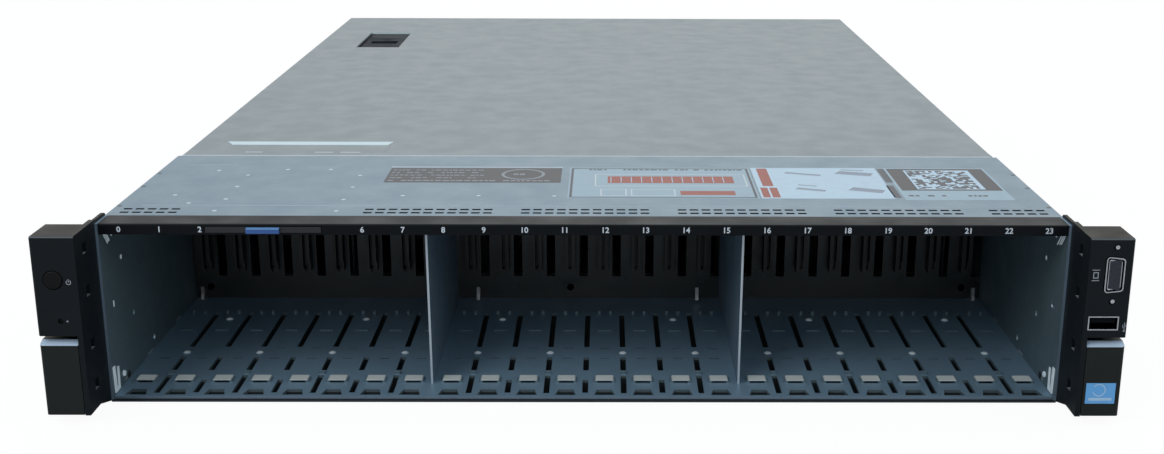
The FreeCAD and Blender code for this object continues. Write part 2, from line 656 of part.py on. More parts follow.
def ear_shell():
    """Left ear: a rounded block, hollow behind its lever, with a sloped foot and a tongue."""
    front = -EAR_REACH
    block = box(-EAR_OUT, -HALF, front, 0, EAR_BOTTOM, EAR_TOP)
    block = rounded(block, "z", EAR_EDGE, lambda p: p.y < front + 0.1 and p.x < -EAR_OUT + 0.1)
    block = rounded(block, "x", EAR_BROW, lambda p: p.y < front + 0.1 and p.z > CAVITY_TOP)
    foot = prism("x", [(-FOOT_RUN, EAR_BOTTOM), (0, FOOT_Z), (0, EAR_BOTTOM + EAR_WALL),
                       (-FOOT_RUN, EAR_BOTTOM + EAR_WALL)], -HALF - EAR_WALL, -HALF)
    step_depth, step_drop = SHOULDER
    shoulder = box(-EAR_OUT - 1, -HALF - EAR_WALL, -step_depth, 1, EAR_TOP - step_drop, EAR_TOP + 1)
    cavity = box(-EAR_OUT - 1, -HALF - EAR_WALL, front - 1, -EAR_BACK, EAR_BOTTOM - 1, CAVITY_TOP)
    hook_slot = box(-LEVER_IN - HOOK_THICKNESS - GAP, -LEVER_IN + GAP, -EAR_BACK - 1, 1,
                    *HOOK_SLOT_Z)
    screw_hole = rod("y", -RACK_HOLE_SPACING / 2, SCREW_Z, SCREW_NECK + GAP, -EAR_BACK - 1, 1)
    screw_seat = rod("y", -RACK_HOLE_SPACING / 2, SCREW_Z, SCREW_RADIUS + GAP, -SCREW_SEAT, 1)
    pin_hole = rod("x", PIVOT_Y, PIVOT_Z, LEVER_PIN, -HALF - EAR_WALL - 1, -HALF - EAR_WALL + PIN_SEAT)
    cuts = [shoulder, cavity, hook_slot, screw_hole, screw_seat, pin_hole]
    length, height, depth = POCKET_SIZE
    for behind, below in POCKETS:
        y, z = front + behind, BODY_HEIGHT - below
        cuts.append(box(-HALF - depth, -HALF + 1, y - length / 2, y + length / 2, z - height / 2,
                        z + height / 2))
    return join([block, foot, ear_tongue()]).cut(cuts)


def ear_housing_left():
    """Left ear with the bores of the power and service buttons."""
    front = -EAR_REACH
    bores = [rod("y", POWER_X, POWER_Z, POWER_RADIUS + GAP, front - 1, front + POWER_BORE_DEPTH),
             rod("y", SERVICE_X, SERVICE_Z, SERVICE_RADIUS + GAP, front - 1,
                 front + SERVICE_BORE_DEPTH)]
    return ear_shell().cut(bores)


def ear_housing_right():
    """Right ear: a D window and two screw holes in its skin, and the USB port's opening."""
    front = -EAR_REACH
    width, height = USB_SIZE
    flange = box(PORT_X - D_FLANGE_HEIGHT / 2, PORT_X + D_FLANGE_HEIGHT / 2, front + PORT_SKIN,
                 front + PORT_POCKET, PORT_Z - D_FLANGE_WIDTH / 2, PORT_Z + D_FLANGE_WIDTH / 2)
    d_window = rounded(prism("y", d_outline(PORT_WINDOW, D_SHELL_HEIGHT + 0.8, 0), front - 1,
                             front + PORT_SKIN + 1), "y", 2.0)
    d_window = moved(turned(d_window, "y", -90), PORT_X, 0, PORT_Z)
    cuts = [flange, d_window,
            box(FRONT_USB_X - width / 2, FRONT_USB_X + width / 2, front - 1, front + PORT_POCKET,
                FRONT_USB_Z - height / 2, FRONT_USB_Z + height / 2)]
    for side in (-1, 1):
        z = PORT_Z + side * D_SCREW_SPACING / 2
        cuts.append(rod("y", PORT_X, z, D_SCREW_HOLE + GAP, front - 1, front + PORT_SKIN + 1))
    return mirrored(ear_shell()).cut(cuts)


def lever_flank():
    """Outer side of the lever: a plate whose upper rear corner follows a circle round the pivot."""
    front = -EAR_REACH
    top = LEDGE_Z - GAP
    meets = front + LEDGE_RUN * (top - LIP_Z) / (LEDGE_Z - LIP_Z)
    side = prism("x", [(front, LEVER_FOOT), (front, LIP_Z), (meets, top), (LEVER_FLANK_END, top),
                       (LEVER_FLANK_END, LEVER_FOOT)], -EAR_OUT, -EAR_OUT + LEVER_FLANK)
    return side.common(rod("x", PIVOT_Y, PIVOT_Z, LEVER_FLANK_RADIUS, -EAR_OUT - 1, -HALF))


def latch_lever():
    """Left slam-latch lever: barrel, finger plate with a sloped lip, outer flank and rear hook."""
    front = -EAR_REACH
    back = front + LEVER_PLATE
    barrel = rod("x", PIVOT_Y, PIVOT_Z, LEVER_BARREL, -EAR_OUT + EAR_EDGE, -LEVER_IN)
    run, thick = LEDGE_RUN, LEDGE_SHEET
    plate = prism("x", [(front, LEVER_FOOT), (front, LIP_Z), (front + run, LEDGE_Z),
                        (LEDGE_END_Y, LEDGE_Z), (LEDGE_END_Y, LEDGE_Z - thick),
                        (front + run + 1, LEDGE_Z - thick), (back, LIP_Z - thick),
                        (back, LEVER_FOOT)], -EAR_OUT, -LEVER_IN)
    shell = join([plate, lever_flank()])
    shell = rounded(shell, "z", EAR_EDGE, lambda p: p.y < front + 0.1 and p.x < -EAR_OUT + 0.1)
    low, high = HOOK_Z
    notch_y, notch_z = HOOK_NOTCH
    hook = prism("x", [(back - 1, PIVOT_Z), (back - 1, high), (HOOK_END, high), (HOOK_END, low),
                       (notch_y, low), (notch_y, notch_z), (-EAR_BACK - 1, notch_z),
                       (-EAR_BACK - 5.0, PIVOT_Z)],
                 -LEVER_IN - HOOK_THICKNESS, -LEVER_IN)
    bore = rod("x", PIVOT_Y, PIVOT_Z, LEVER_PIN + RUNNING, -EAR_OUT + LEVER_FLANK, -HALF)
    return join([shell, barrel, hook]).cut(bore)


def latch_pins():
    """Fixed pins, seated in the ears' inner walls, that the levers turn on."""
    pin = rod("x", PIVOT_Y, PIVOT_Z, LEVER_PIN, -EAR_OUT + LEVER_FLANK + GAP,
              -HALF - EAR_WALL + PIN_SEAT)
    return group([pin, mirrored(pin)])


def rack_screws():
    """Captive screws behind the levers, necked inside the ears, on the rack's hole spacing."""
    x = -RACK_HOLE_SPACING / 2
    front = -EAR_BACK - SCREW_HEAD_DEPTH
    slot_width, slot_depth = SCREW_SLOT
    head = rod("y", x, SCREW_Z, SCREW_HEAD, front, -EAR_BACK)
    slot = box(x - SCREW_HEAD, x + SCREW_HEAD, front - 1, front + slot_depth,
               SCREW_Z - slot_width / 2, SCREW_Z + slot_width / 2)
    neck = rod("y", x, SCREW_Z, SCREW_NECK, -EAR_BACK, SCREW_NECK_END)
    shank = rod("y", x, SCREW_Z, SCREW_RADIUS, SCREW_NECK_END, SCREW_REACH)
    screw = join([head.cut(slot), neck, shank])
    return group([screw, mirrored(screw)])


def power_button():
    """Round button with a slightly domed rim."""
    front = -EAR_REACH - POWER_PROUD
    button = rod("y", POWER_X, POWER_Z, POWER_RADIUS, front, front + POWER_LENGTH)
    rim = [edge for edge in button.Edges
           if isinstance(edge.Curve, Part.Circle) and edge.CenterOfMass.y < front + 0.1]
    return button.makeFillet(POWER_RIM, rim)


def service_button():
    front = -EAR_REACH + SERVICE_RECESS
    return rod("y", SERVICE_X, SERVICE_Z, SERVICE_RADIUS, front, front + SERVICE_LENGTH)


# ---------------------------------------------------------------- ports
D_SHELL_HEIGHT = 8.4
D_SHELL_SLOPE = 0.9
D_SHELL_WALL = 0.5
D_SHELL_REACH = 1.8
D_SHELL_ROUND = 1.6
D_INSERT_INSET = 1.3
D_FLANGE = 1.0
D_BODY_END = 10.0
D_SCREW_SPACING = 25.0
D_SCREW_RADIUS = 2.3
D_SCREW_HOLE = 1.2
D_PIN_RADIUS = 0.45
D_PIN_PITCH = 2.29
D_ROW_PITCH = 1.98


def d_outline(width, height, shrink):
    half, tall = width / 2 - shrink, height / 2 - shrink
    return [(-half + D_SHELL_SLOPE, -tall), (half - D_SHELL_SLOPE, -tall), (half, tall), (-half, tall)]


def d_solid(width, shrink, start, end):
    """D-shaped column with rounded corners, inset from the shell's outside."""
    column = prism("y", d_outline(width, D_SHELL_HEIGHT, shrink), start, end)
    return rounded(column, "y", max(D_SHELL_ROUND - shrink, D_SHELL_ROUND / 2))


def d_port(width, pin_rows, jack_screws=True):
    """D-shaped port that faces -y: flange, shell, insert with pin holes, hexagonal jack screws."""
    flange = box(-D_FLANGE_WIDTH / 2, D_FLANGE_WIDTH / 2, 0, D_FLANGE, -D_FLANGE_HEIGHT / 2,
                 D_FLANGE_HEIGHT / 2)
    flange = rounded(flange, "y", 1.5)
    tube = d_solid(width, 0, -D_SHELL_REACH, 0.5)
    mouth = d_solid(width, D_SHELL_WALL, -D_SHELL_REACH - 1, -0.4)
    insert = d_solid(width, D_INSERT_INSET, -D_SHELL_REACH + 0.4, 0)
    body = box(-width / 2 - 1, width / 2 + 1, D_FLANGE, D_BODY_END, -D_SHELL_HEIGHT / 2,
               D_SHELL_HEIGHT / 2)
    holes = []
    screws = []
    for row, (count, offset) in enumerate(pin_rows):
        z = ((len(pin_rows) - 1) / 2 - row) * D_ROW_PITCH
        for step in range(count):
            x = (step - (count - 1) / 2) * D_PIN_PITCH + offset
            holes.append(rod("y", x, z, D_PIN_RADIUS, -D_SHELL_REACH, -0.2))
    for x in (-D_SCREW_SPACING / 2, D_SCREW_SPACING / 2):
        corners = [(x + D_SCREW_RADIUS * math.cos(math.radians(60 * step)),
                    D_SCREW_RADIUS * math.sin(math.radians(60 * step))) for step in range(6)]
        if jack_screws:
            screws.append(prism("y", corners, -D_SHELL_REACH, 0))
        holes.append(rod("y", x, 0, D_SCREW_HOLE, -D_SHELL_REACH - 1, D_FLANGE + 1))
    return join([flange, tube.cut(mouth), body, insert] + screws).cut(holes)


VIDEO_WIDTH = 16.9
SERIAL_WIDTH = 16.9
VIDEO_PINS = ((5, 0.0), (5, 1.1), (5, 0.0))
SERIAL_PINS = ((5, 0.0), (4, 0.0))


def front_video_port():
    """Upright video port of the right ear."""
    port = turned(d_port(VIDEO_WIDTH, VIDEO_PINS, False), "y", -90)
    return moved(port, PORT_X, -EAR_REACH + PORT_SKIN, PORT_Z)


def usb_port():
    """USB port that faces -y: thin shell with a contact tongue."""
    width, height = USB_SIZE
    shell = box(-width / 2, width / 2, 0, USB_DEPTH, -height / 2, height / 2)
    mouth = box(-width / 2 + USB_WALL, width / 2 - USB_WALL, -1, USB_DEPTH - 1.5,
                -height / 2 + USB_WALL, height / 2 - USB_WALL)
    tongue = box(-width / 2 + 1.4, width / 2 - 1.4, 1.0, USB_DEPTH - 1, 0.0, 1.8)
    return join([shell.cut(mouth), tongue])


def facing_rear(port, x, z, proud):
    return moved(turned(port, "z", 180), x, BODY_DEPTH + proud, z)


def rear_d_ports():
    """Video and serial ports of the rear panel, each on a foot that stands on the board."""
    ports = []
    for x, width, rows in ((VIDEO_X, VIDEO_WIDTH, VIDEO_PINS), (SERIAL_X, SERIAL_WIDTH, SERIAL_PINS)):
        port = facing_rear(d_port(width, rows), x, D_REAR_Z, 0.4)
        foot = box(x - width / 2, x + width / 2, BODY_DEPTH - 9.0, BODY_DEPTH - 2.0, BOARD_TOP,
                   D_REAR_Z - D_SHELL_HEIGHT / 2 + 1)
        ports.append(join([port, foot]))
    return group(ports)


def usb_ports():
    """The right ear's USB port, and two stacked ones with a shared foot at the rear."""
    width, height = USB_SIZE
    front = moved(usb_port(), FRONT_USB_X, -EAR_REACH - USB_PROUD, FRONT_USB_Z)
    shells = [facing_rear(usb_port(), REAR_USB_X, z, USB_PROUD) for z in REAR_USB_Z]
    spine = box(REAR_USB_X - width / 2, REAR_USB_X + width / 2, BODY_DEPTH - USB_DEPTH - 2,
                BODY_DEPTH - USB_DEPTH + USB_PROUD, BOARD_TOP, REAR_USB_Z[1] + height / 2)
    return group([front, join(shells + [spine])])


def network_ports():
    """Row of modular jacks with the stepped mouth that a latch needs."""
    jacks = []
    width, height = RJ_SIZE
    end = BODY_DEPTH + RJ_PROUD
    for x in RJ_ROW + [RJ_ALONE]:
        jack = box(x - width / 2, x + width / 2, end - RJ_DEPTH, end, BOARD_TOP, BOARD_TOP + height)
        cuts = [box(x - wide / 2, x + wide / 2, end - RJ_MOUTH_DEPTH, end + 1, BOARD_TOP + low,
                    BOARD_TOP + high) for wide, low, high in RJ_MOUTH]
        jacks.append(jack.cut(cuts))
    return group(jacks)


COVER_VENT = (9.0, 2.2)
COVER_VENT_PITCH = (13.0, 3.6)


def slot_covers():
    """Blanking plates with vent slots behind the expansion slot windows."""
    covers = []
    for x in SLOT_X:
        for z in SLOT_Z:
            half_x, half_z = SLOT_WIDE / 2 + SLOT_LAP, SLOT_TALL / 2 + SLOT_LAP / 2
            vents = [window(x + step * COVER_VENT_PITCH[0], z + row * COVER_VENT_PITCH[1],
                            *COVER_VENT, 0) for step in range(-3, 4) for row in (-1, 0, 1)]
            covers.append(sheet("y", rect(x - half_x, x + half_x, z - half_z, z + half_z), vents,
                                REAR_FACE - SHEET, REAR_FACE))
    return group(covers)


# ---------------------------------------------------------------- cover and its latch
COVER_FRONT = PLATE_END + GAP
COVER_TRAVEL = 10.0
COVER_HALF = HALF - 2.0
COVER_SKIRT = 14.0
SKIRT_FRONT = CAGE_END + STEP_RUN + 3.0
BADGE_X = (-204.0, -110.5)
BADGE_Y = (144.0, 172.0)
BADGE_DEPTH = 1.2
BEVEL = 3.0
LATCH_X = (-188.0, -154.5)
LATCH_Y = (515.0, 579.0)
LATCH_REAR_BEVEL = 15.0
LATCH_THICKNESS = 4.6
LATCH_PIN = 1.2
LATCH_PIVOT_Y = LATCH_Y[0] + 5.0
LATCH_PIVOT_Z = BODY_HEIGHT - 4.2
WELL_DEPTH = 8.6
WELL_RIM = 4.0
WELL_RIM_SHEET = 1.0
WELL_WALL = 0.6
LATCH_SIDE_GAP = 1.2
LOCK_RADIUS = 4.0
LOCK_Y = LATCH_Y[1] - 11.0
LOCK_DEPTH = 2.6


def stamped(x_range, y_range, depth, bevels):
    """Frustum cut that stamps a recess; bevels are the run of its left, right, front, rear walls."""
    left, right, front, rear = bevels
    (x0, x1), (y0, y1) = x_range, y_range
    top = BODY_HEIGHT
    upper = loop("z", rect(x0, x1, y0, y1), top)
    lower = loop("z", rect(x0 + left, x1 - right, y0 + front, y1 - rear), BODY_HEIGHT - depth)
    return Part.makeLoft([lower, upper], True, True)


def latch_opening():
    """Length range of the latch's opening, with its sloped rear wall."""
    return (LATCH_Y[0], LATCH_Y[1] + LATCH_REAR_BEVEL)


def top_cover():
    """Removable cover: top sheet, side skirts, stamped badge recess and the latch's opening."""
    top = box(-COVER_HALF, COVER_HALF, COVER_FRONT, BODY_DEPTH, PLATE_UNDER, BODY_HEIGHT)
    skirt = box(REAR_HALF + GAP, COVER_HALF, SKIRT_FRONT, BODY_DEPTH, BODY_HEIGHT - COVER_SKIRT,
                BODY_HEIGHT)
    badge_bevels = (BEVEL, BEVEL, BEVEL, BEVEL)
    badge_back = moved(stamped((BADGE_X[0] - SHEET, BADGE_X[1] + SHEET),
                               (BADGE_Y[0] - SHEET, BADGE_Y[1] + SHEET), BADGE_DEPTH, badge_bevels),
                       z=-SHEET)
    opening = box(*LATCH_X, *latch_opening(), PLATE_UNDER - 1, BODY_HEIGHT + 1)
    body = join([top, skirt, mirrored(skirt), badge_back])
    return body.cut([stamped(BADGE_X, BADGE_Y, BADGE_DEPTH, badge_bevels), opening])


def latch_well():
    """Tub riveted under the cover's opening: rim, sloped rear wall and bores for the latch pin."""
    front, rear = latch_opening()
    floor = BODY_HEIGHT - WELL_DEPTH
    rim = box(LATCH_X[0] - WELL_RIM, LATCH_X[1] + WELL_RIM, front - WELL_RIM, rear + WELL_RIM,
              PLATE_UNDER - WELL_RIM_SHEET, PLATE_UNDER)
    outer = [(front - WELL_WALL, PLATE_UNDER), (front - WELL_WALL, floor - WELL_WALL),
             (rear - LATCH_REAR_BEVEL, floor - WELL_WALL), (rear + WELL_WALL, PLATE_UNDER)]
    inner = [(front, BODY_HEIGHT), (front, floor), (rear - LATCH_REAR_BEVEL, floor),
             (rear, PLATE_UNDER), (rear, BODY_HEIGHT)]
    tub = prism("x", outer, LATCH_X[0] - WELL_WALL, LATCH_X[1] + WELL_WALL)
    pin_hole = rod("x", LATCH_PIVOT_Y, LATCH_PIVOT_Z, LATCH_PIN, LATCH_X[0] - 1, LATCH_X[1] + 1)
    return join([rim, tub]).cut([prism("x", inner, *LATCH_X), pin_hole])


def cover_latch():
    """Latch lever in the cover's well: rounded pivot end, finger scoop and seat of the lock."""
    low = LATCH_PIVOT_Z - LATCH_THICKNESS / 2
    high = LATCH_PIVOT_Z + LATCH_THICKNESS / 2
    left, right = LATCH_X[0] + LATCH_SIDE_GAP, LATCH_X[1] - LATCH_SIDE_GAP
    end = LATCH_Y[1] - 1.0
    lever = box(left, right, LATCH_PIVOT_Y, end, low, high)
    lever = rounded(lever, "z", 3.0, lambda p: p.y > end - 1)
    barrel = rod("x", LATCH_PIVOT_Y, LATCH_PIVOT_Z, LATCH_THICKNESS / 2, left, right)
    scoop = prism("x", [(LOCK_Y - 22, high + 1), (LOCK_Y - 20, high - 2), (LOCK_Y - 10, high - 2),
                        (LOCK_Y - 8, high + 1)], left + 5, right - 5)
    bore = rod("x", LATCH_PIVOT_Y, LATCH_PIVOT_Z, LATCH_PIN + RUNNING, left - 1, right + 1)
    lock_seat = rod("z", (left + right) / 2, LOCK_Y, LOCK_RADIUS + RUNNING, high - LOCK_DEPTH, high + 1)
    return join([lever, barrel]).cut([scoop, bore, lock_seat])


def latch_lock():
    """Quarter-turn lock in the lever, with a screwdriver slot."""
    high = LATCH_PIVOT_Z + LATCH_THICKNESS / 2
    middle = (LATCH_X[0] + LATCH_X[1]) / 2
    disc = rod("z", middle, LOCK_Y, LOCK_RADIUS, high - LOCK_DEPTH + RUNNING, high + 0.2)
    slot = box(middle - 3.0, middle + 3.0, LOCK_Y - 0.6, LOCK_Y + 0.6, high - 1.2, high + 1)
    return disc.cut(slot)


def latch_pin():
    return rod("x", LATCH_PIVOT_Y, LATCH_PIVOT_Z, LATCH_PIN, LATCH_X[0] - WELL_WALL,
               LATCH_X[1] + WELL_WALL)


# ---------------------------------------------------------------- fans
FAN_BASE = SHEET + 1.2
FAN_Z = FAN_BASE + FAN_SIZE / 2
FAN_BOSS_DEPTH = 4.0
FAN_PITCH = 2 * (REAR_INNER - FAN_MARGIN) / FAN_COUNT
FAN_BORE = FAN_SIZE / 2 - FAN_WALL
CAGE_Y = (FAN_FRONT - 4.0, FAN_REAR + 4.0)


def fan_x(index):
    return (index - (FAN_COUNT - 1) / 2) * FAN_PITCH


def fan_cage():
    """Tray with upright partitions that the fans drop into."""
    half = REAR_INNER - GAP
    tray = box(-half, half, *CAGE_Y, SHEET, FAN_BASE)
    walls = [box(fan_x(step) - FAN_PITCH / 2 - 0.6, fan_x(step) - FAN_PITCH / 2 + 0.6, *CAGE_Y,
                 FAN_BASE, FAN_BASE + FAN_SIZE + 6) for step in range(FAN_COUNT + 1)]
    ties = [box(fan_x(0) - FAN_PITCH / 2, fan_x(FAN_COUNT) - FAN_PITCH / 2, y, y + 2,
                FAN_BASE + FAN_SIZE + 2, FAN_BASE + FAN_SIZE + 6) for y in (CAGE_Y[0], CAGE_Y[1] - 2)]
    return join([tray] + walls + ties)


def fan_frame(index):
    """Square fan housing: round duct, motor boss and four stator struts at the outlet."""
    x, half = fan_x(index), FAN_SIZE / 2
    rear = FAN_REAR
    block = box(x - half, x + half, FAN_FRONT, rear, FAN_Z - half, FAN_Z + half)
    block = rounded(block, "y", 3.0)
    duct = rod("y", x, FAN_Z, FAN_BORE, FAN_FRONT - 1, rear + 1)
    boss = rod("y", x, FAN_Z, FAN_HUB, rear - FAN_BOSS_DEPTH, rear)
    strut = box(x - FAN_BORE - 1, x + FAN_BORE + 1, rear - 3, rear, FAN_Z - 1.2, FAN_Z + 1.2)
    struts = [turned(strut, "y", angle, V(x, 0, FAN_Z)) for angle in (45, 135)]
    bearing = rod("y", x, FAN_Z, FAN_SHAFT + RUNNING, rear - FAN_BOSS_DEPTH - 1, rear + 1)
    return join([block.cut(duct), boss] + struts).cut(bearing)


def blade(root, tip, front, rear, sweep):
    """One fan blade about the y axis: thin radial sections that turn from front to rear."""
    half = BLADE_SHEET / 2
    sections = []
    for part in (0.0, 0.5, 1.0):
        turn = math.radians(sweep * part)
        along = front + (rear - front) * part
        corners = []
        for radius, side in ((root, -half), (root, half), (tip, half), (tip, -half)):
            angle = turn + side / radius
            corners.append(V(radius * math.sin(angle), along, radius * math.cos(angle)))
        sections.append(Part.makePolygon(corners + corners[:1]))
    return Part.makeLoft(sections, True, True)


def rotor(x, z, hub, tip, front, rear, count, shaft, shaft_end, sweep):
    """Bladed rotor with a rounded hub and a shaft that runs in its boss."""
    core = rod("y", 0, 0, hub, front, rear)
    rim = [edge for edge in core.Edges
           if isinstance(edge.Curve, Part.Circle) and edge.CenterOfMass.y < front + 0.1]
    core = core.makeFillet(1.5, rim)
    spindle = rod("y", 0, 0, shaft, rear - 1, shaft_end)
    one = blade(hub - 0.6, tip, front + 3, rear - 2, sweep)
    blades = [turned(one, "y", 360 / count * step) for step in range(count)]
    return moved(core.fuse([spindle] + blades), x, 0, z)


def fan_rotor(index):
    rear = FAN_REAR
    return rotor(fan_x(index), FAN_Z, FAN_HUB, FAN_BORE - 0.6, FAN_FRONT + 3,
                 rear - FAN_BOSS_DEPTH - 0.5, FAN_BLADES, FAN_SHAFT, rear - 0.5, 40)


# ---------------------------------------------------------------- inside
BOARD_SHEET = 1.6
BOARD_MARGIN = 2.0
BOARD_REAR = BODY_DEPTH - 3.0
BOARD_HALF = REAR_INNER - BOARD_MARGIN
SHROUD_HALF = REAR_INNER - 13.3
SHROUD_WALL = 1.5
SHROUD_HEADROOM = 2.0
SHROUD_SLOPE = 14.0
SHROUD_Y = (BOARD_FRONT + 4.0, DIMM_END + 5.0)
CPU_X = ((SHROUD_WALL - SHROUD_HALF) / 2, (SHROUD_HALF - SHROUD_WALL) / 2)
CPU_Y = DIMM_Y + DIMM_SOCKET_LAP + DIMM_LENGTH / 2
CPU_SIZE = (64.0, 74.0)
SINK_SIZE = (78.0, 90.0)
SOCKET_HEIGHT = 3.0
SINK_BASE = 5.0
FIN_HEIGHT = BODY_HEIGHT - 36.8
FIN_COUNT = 16
FIN_SHEET = 1.2
DIMM_PITCH = 8.5
DIMM_HEIGHT = 31.0
DIMM_SHEET = 1.4
DIMM_SOCKET = (6.4, 5.0)
DIMM_FIRST = SINK_SIZE[0] / 2 + 7.0
DIMM_ROWS = int((CPU_X[1] - DIMM_FIRST - DIMM_SOCKET[0]) / DIMM_PITCH) + 1
SHELF_INNER = SUPPLY_X[1] + SUPPLY_WIDTH / 2 + 1.5
BOARD_NOTCH_X = SHELF_INNER + SHEET + 1.0
BOARD_NOTCH_Y = SUPPLY_FRONT - 12.0
STANDOFF_RADIUS = 3.0
STANDOFF_INSET = 10.0
STANDOFF_X = 60.0
RISER_X = (SLOT_X[2] - 25.0, SLOT_X[2] + 80.0)
RISER_Y = (SUPPLY_FRONT + 56.0, REAR_FACE - 28.0)
RISER_SHEET = 1.6
RISER_SOCKET = (7.0, 8.0)
RISER_SOCKET_END = 15.0


def system_board():
    """Main board, cut back round the supplies."""
    outline = [(-BOARD_HALF, BOARD_FRONT), (BOARD_HALF, BOARD_FRONT), (BOARD_HALF, BOARD_REAR),
               (BOARD_NOTCH_X, BOARD_REAR), (BOARD_NOTCH_X, BOARD_NOTCH_Y),
               (-BOARD_HALF, BOARD_NOTCH_Y)]
    return prism("z", outline, BOARD_TOP - BOARD_SHEET, BOARD_TOP)


def board_standoffs():
    """Posts between the chassis floor and the board: two full rows, two beside the supplies."""
    wide = BOARD_HALF - STANDOFF_INSET
    front, middle = BOARD_FRONT + STANDOFF_INSET, BOARD_NOTCH_Y - STANDOFF_INSET
    inside = BOARD_NOTCH_X + STANDOFF_INSET
    rear = BODY_DEPTH - RJ_DEPTH - STANDOFF_INSET
    places = [(-wide, front), (0, front), (wide, front)]
    places += [(-wide, middle), (-STANDOFF_X, middle), (STANDOFF_X, middle), (wide, middle)]
    places += [(x, y) for y in ((middle + rear) / 2, rear) for x in (inside, wide)]
    return group(rod("z", x, y, STANDOFF_RADIUS, SHEET, BOARD_TOP - BOARD_SHEET) for x, y in places)


def cpu_sockets():
    wide, deep = CPU_SIZE
    return group(box(x - wide / 2, x + wide / 2, CPU_Y - deep / 2, CPU_Y + deep / 2, BOARD_TOP,
                     BOARD_TOP + SOCKET_HEIGHT) for x in CPU_X)


def heat_sinks():
    """Two finned heat sinks standing on the processor sockets."""
    sinks = []
    wide, deep = SINK_SIZE
    base = BOARD_TOP + SOCKET_HEIGHT
    foot, top = base + SINK_BASE, base + SINK_BASE + FIN_HEIGHT
    pitch = (wide - FIN_SHEET) / (FIN_COUNT - 1)
    for x in CPU_X:
        left = x - wide / 2
        points = [(left, base), (left + wide, base)]
        for step in reversed(range(FIN_COUNT)):
            fin = left + step * pitch
            points += [(fin + FIN_SHEET, top), (fin, top)]
            if step:
                points += [(fin, foot), (fin - pitch + FIN_SHEET, foot)]
        sinks.append(prism("y", points, CPU_Y - deep / 2, CPU_Y + deep / 2))
    return group(sinks)


def memory_x():
    """Places of the memory sockets, in rows on both sides of each processor."""
    return [x + side * (DIMM_FIRST + step * DIMM_PITCH) for x in CPU_X for side in (-1, 1)
            for step in range(DIMM_ROWS)]


def memory_sockets():
    width, height = DIMM_SOCKET
    return group(box(x - width / 2, x + width / 2, DIMM_Y, DIMM_END, BOARD_TOP,
                     BOARD_TOP + height) for x in memory_x())


def memory_modules():
    base = BOARD_TOP + DIMM_SOCKET[1]
    front = DIMM_Y + DIMM_SOCKET_LAP
    return group(box(x - DIMM_SHEET / 2, x + DIMM_SHEET / 2, front, front + DIMM_LENGTH, base,
                     base + DIMM_HEIGHT) for x in memory_x())


def shroud_arch(half, top, slope):
    """Section of the shroud: upright sides, sloped shoulders and a flat top."""
    return [(-half, BOARD_TOP), (-half, top - slope), (-half + slope, top), (half - slope, top),
            (half, top - slope), (half, BOARD_TOP)]


def air_shroud():
    """Moulded duct over the processors, open to the fans and to the rear."""
    top = PLATE_UNDER - SHROUD_HEADROOM
    outside = shroud_arch(SHROUD_HALF, top, SHROUD_SLOPE)
    inside = shroud_arch(SHROUD_HALF - SHROUD_WALL, top - SHROUD_WALL,
                         SHROUD_SLOPE - SHROUD_WALL * 0.4)
    return prism("y", outside + inside[::-1], *SHROUD_Y)


def riser_boards():
    """Upright riser boards with a slot connector beside each row of slots."""
    boards = []
    front, rear = RISER_Y
    wide, tall = RISER_SOCKET
    for x in RISER_X:
        card = box(x, x + RISER_SHEET, front, rear, BOARD_TOP, PLATE_UNDER - 5.0)
        sockets = [box(x - wide, x, front + 40.0, rear - RISER_SOCKET_END, z - tall / 2,
                       z + tall / 2) for z in SLOT_Z]
        boards.append(join([card] + sockets))
    return group(boards)


# ---------------------------------------------------------------- power supplies
INLET_SIZE = (24.0, 19.0)
INLET_CORNER = 5.0
INLET_DEPTH = 16.0
INLET_SHIFT = -29.0
INLET_BLADES = ((-7.0, -2.0), (0.0, 2.0), (7.0, -2.0))
INLET_BLADE = (2.0, 6.0)
SUPPLY_Z = SUPPLY_BASE + SUPPLY_HEIGHT / 2
SUPPLY_TOP = SUPPLY_BASE + SUPPLY_HEIGHT
SUPPLY_FACE = BODY_DEPTH + 1.0
SUPPLY_EDGE = (50.0, 1.6, 8.0)
HANDLE_SHIFT = -1.4
HANDLE_THICKNESS = 5.0
HANDLE_Z = (SUPPLY_BASE + 5.0, SUPPLY_TOP - 5.0)
HANDLE_BAR = 4.5
HANDLE_ROUND = 4.0
RELEASE_SHIFT = -11.0
RELEASE_SIZE = (7.0, 10.0)
RELEASE_DROP = 3.0
RELEASE_PROUD = 5.0
RELEASE_DEPTH = 12.0
RELEASE_TRAVEL = 2.5
RELEASE_RIB = (0.8, 2.0, 0.6)
SUPPLY_FAN_SHIFT = 24.0
SUPPLY_FAN_BORE = SUPPLY_HEIGHT / 2 - 2.8
SUPPLY_FAN_DEPTH = 16.0
SUPPLY_FAN_HUB = 6.5
SUPPLY_FAN_BLADES = 5
SUPPLY_FAN_LENGTH = 10.5
SUPPLY_FAN_FRONT = 2.5      # guard side of the rotor to the supply's face
GUARD_SHEET = 1.4
GUARD_WIRE = 1.4
GUARD_RINGS = (6.0, 11.0)
BEARING_RADIUS = 4.0
BEARING_LENGTH = 2.0
CAGE_SETBACK = 8.0


def supply_cage():
    """Shelf over the supplies, the upright wall beside them and the sheet between them."""
    top = SHELF_Z + SHEET
    outline = [(-REAR_INNER + GAP, SHELF_Z), (SHELF_INNER, SHELF_Z), (SHELF_INNER, SHEET),
               (SHELF_INNER + SHEET, SHEET), (SHELF_INNER + SHEET, top), (-REAR_INNER + GAP, top)]
    shelf = prism("y", outline, SUPPLY_FRONT + CAGE_SETBACK, REAR_FACE)
    middle = (SUPPLY_X[0] + SUPPLY_X[1]) / 2
    divider = box(middle - SHEET / 2, middle + SHEET / 2, SUPPLY_FRONT + CAGE_SETBACK, REAR_FACE,
                  SHEET, SHELF_Z)
    return join([shelf, divider])


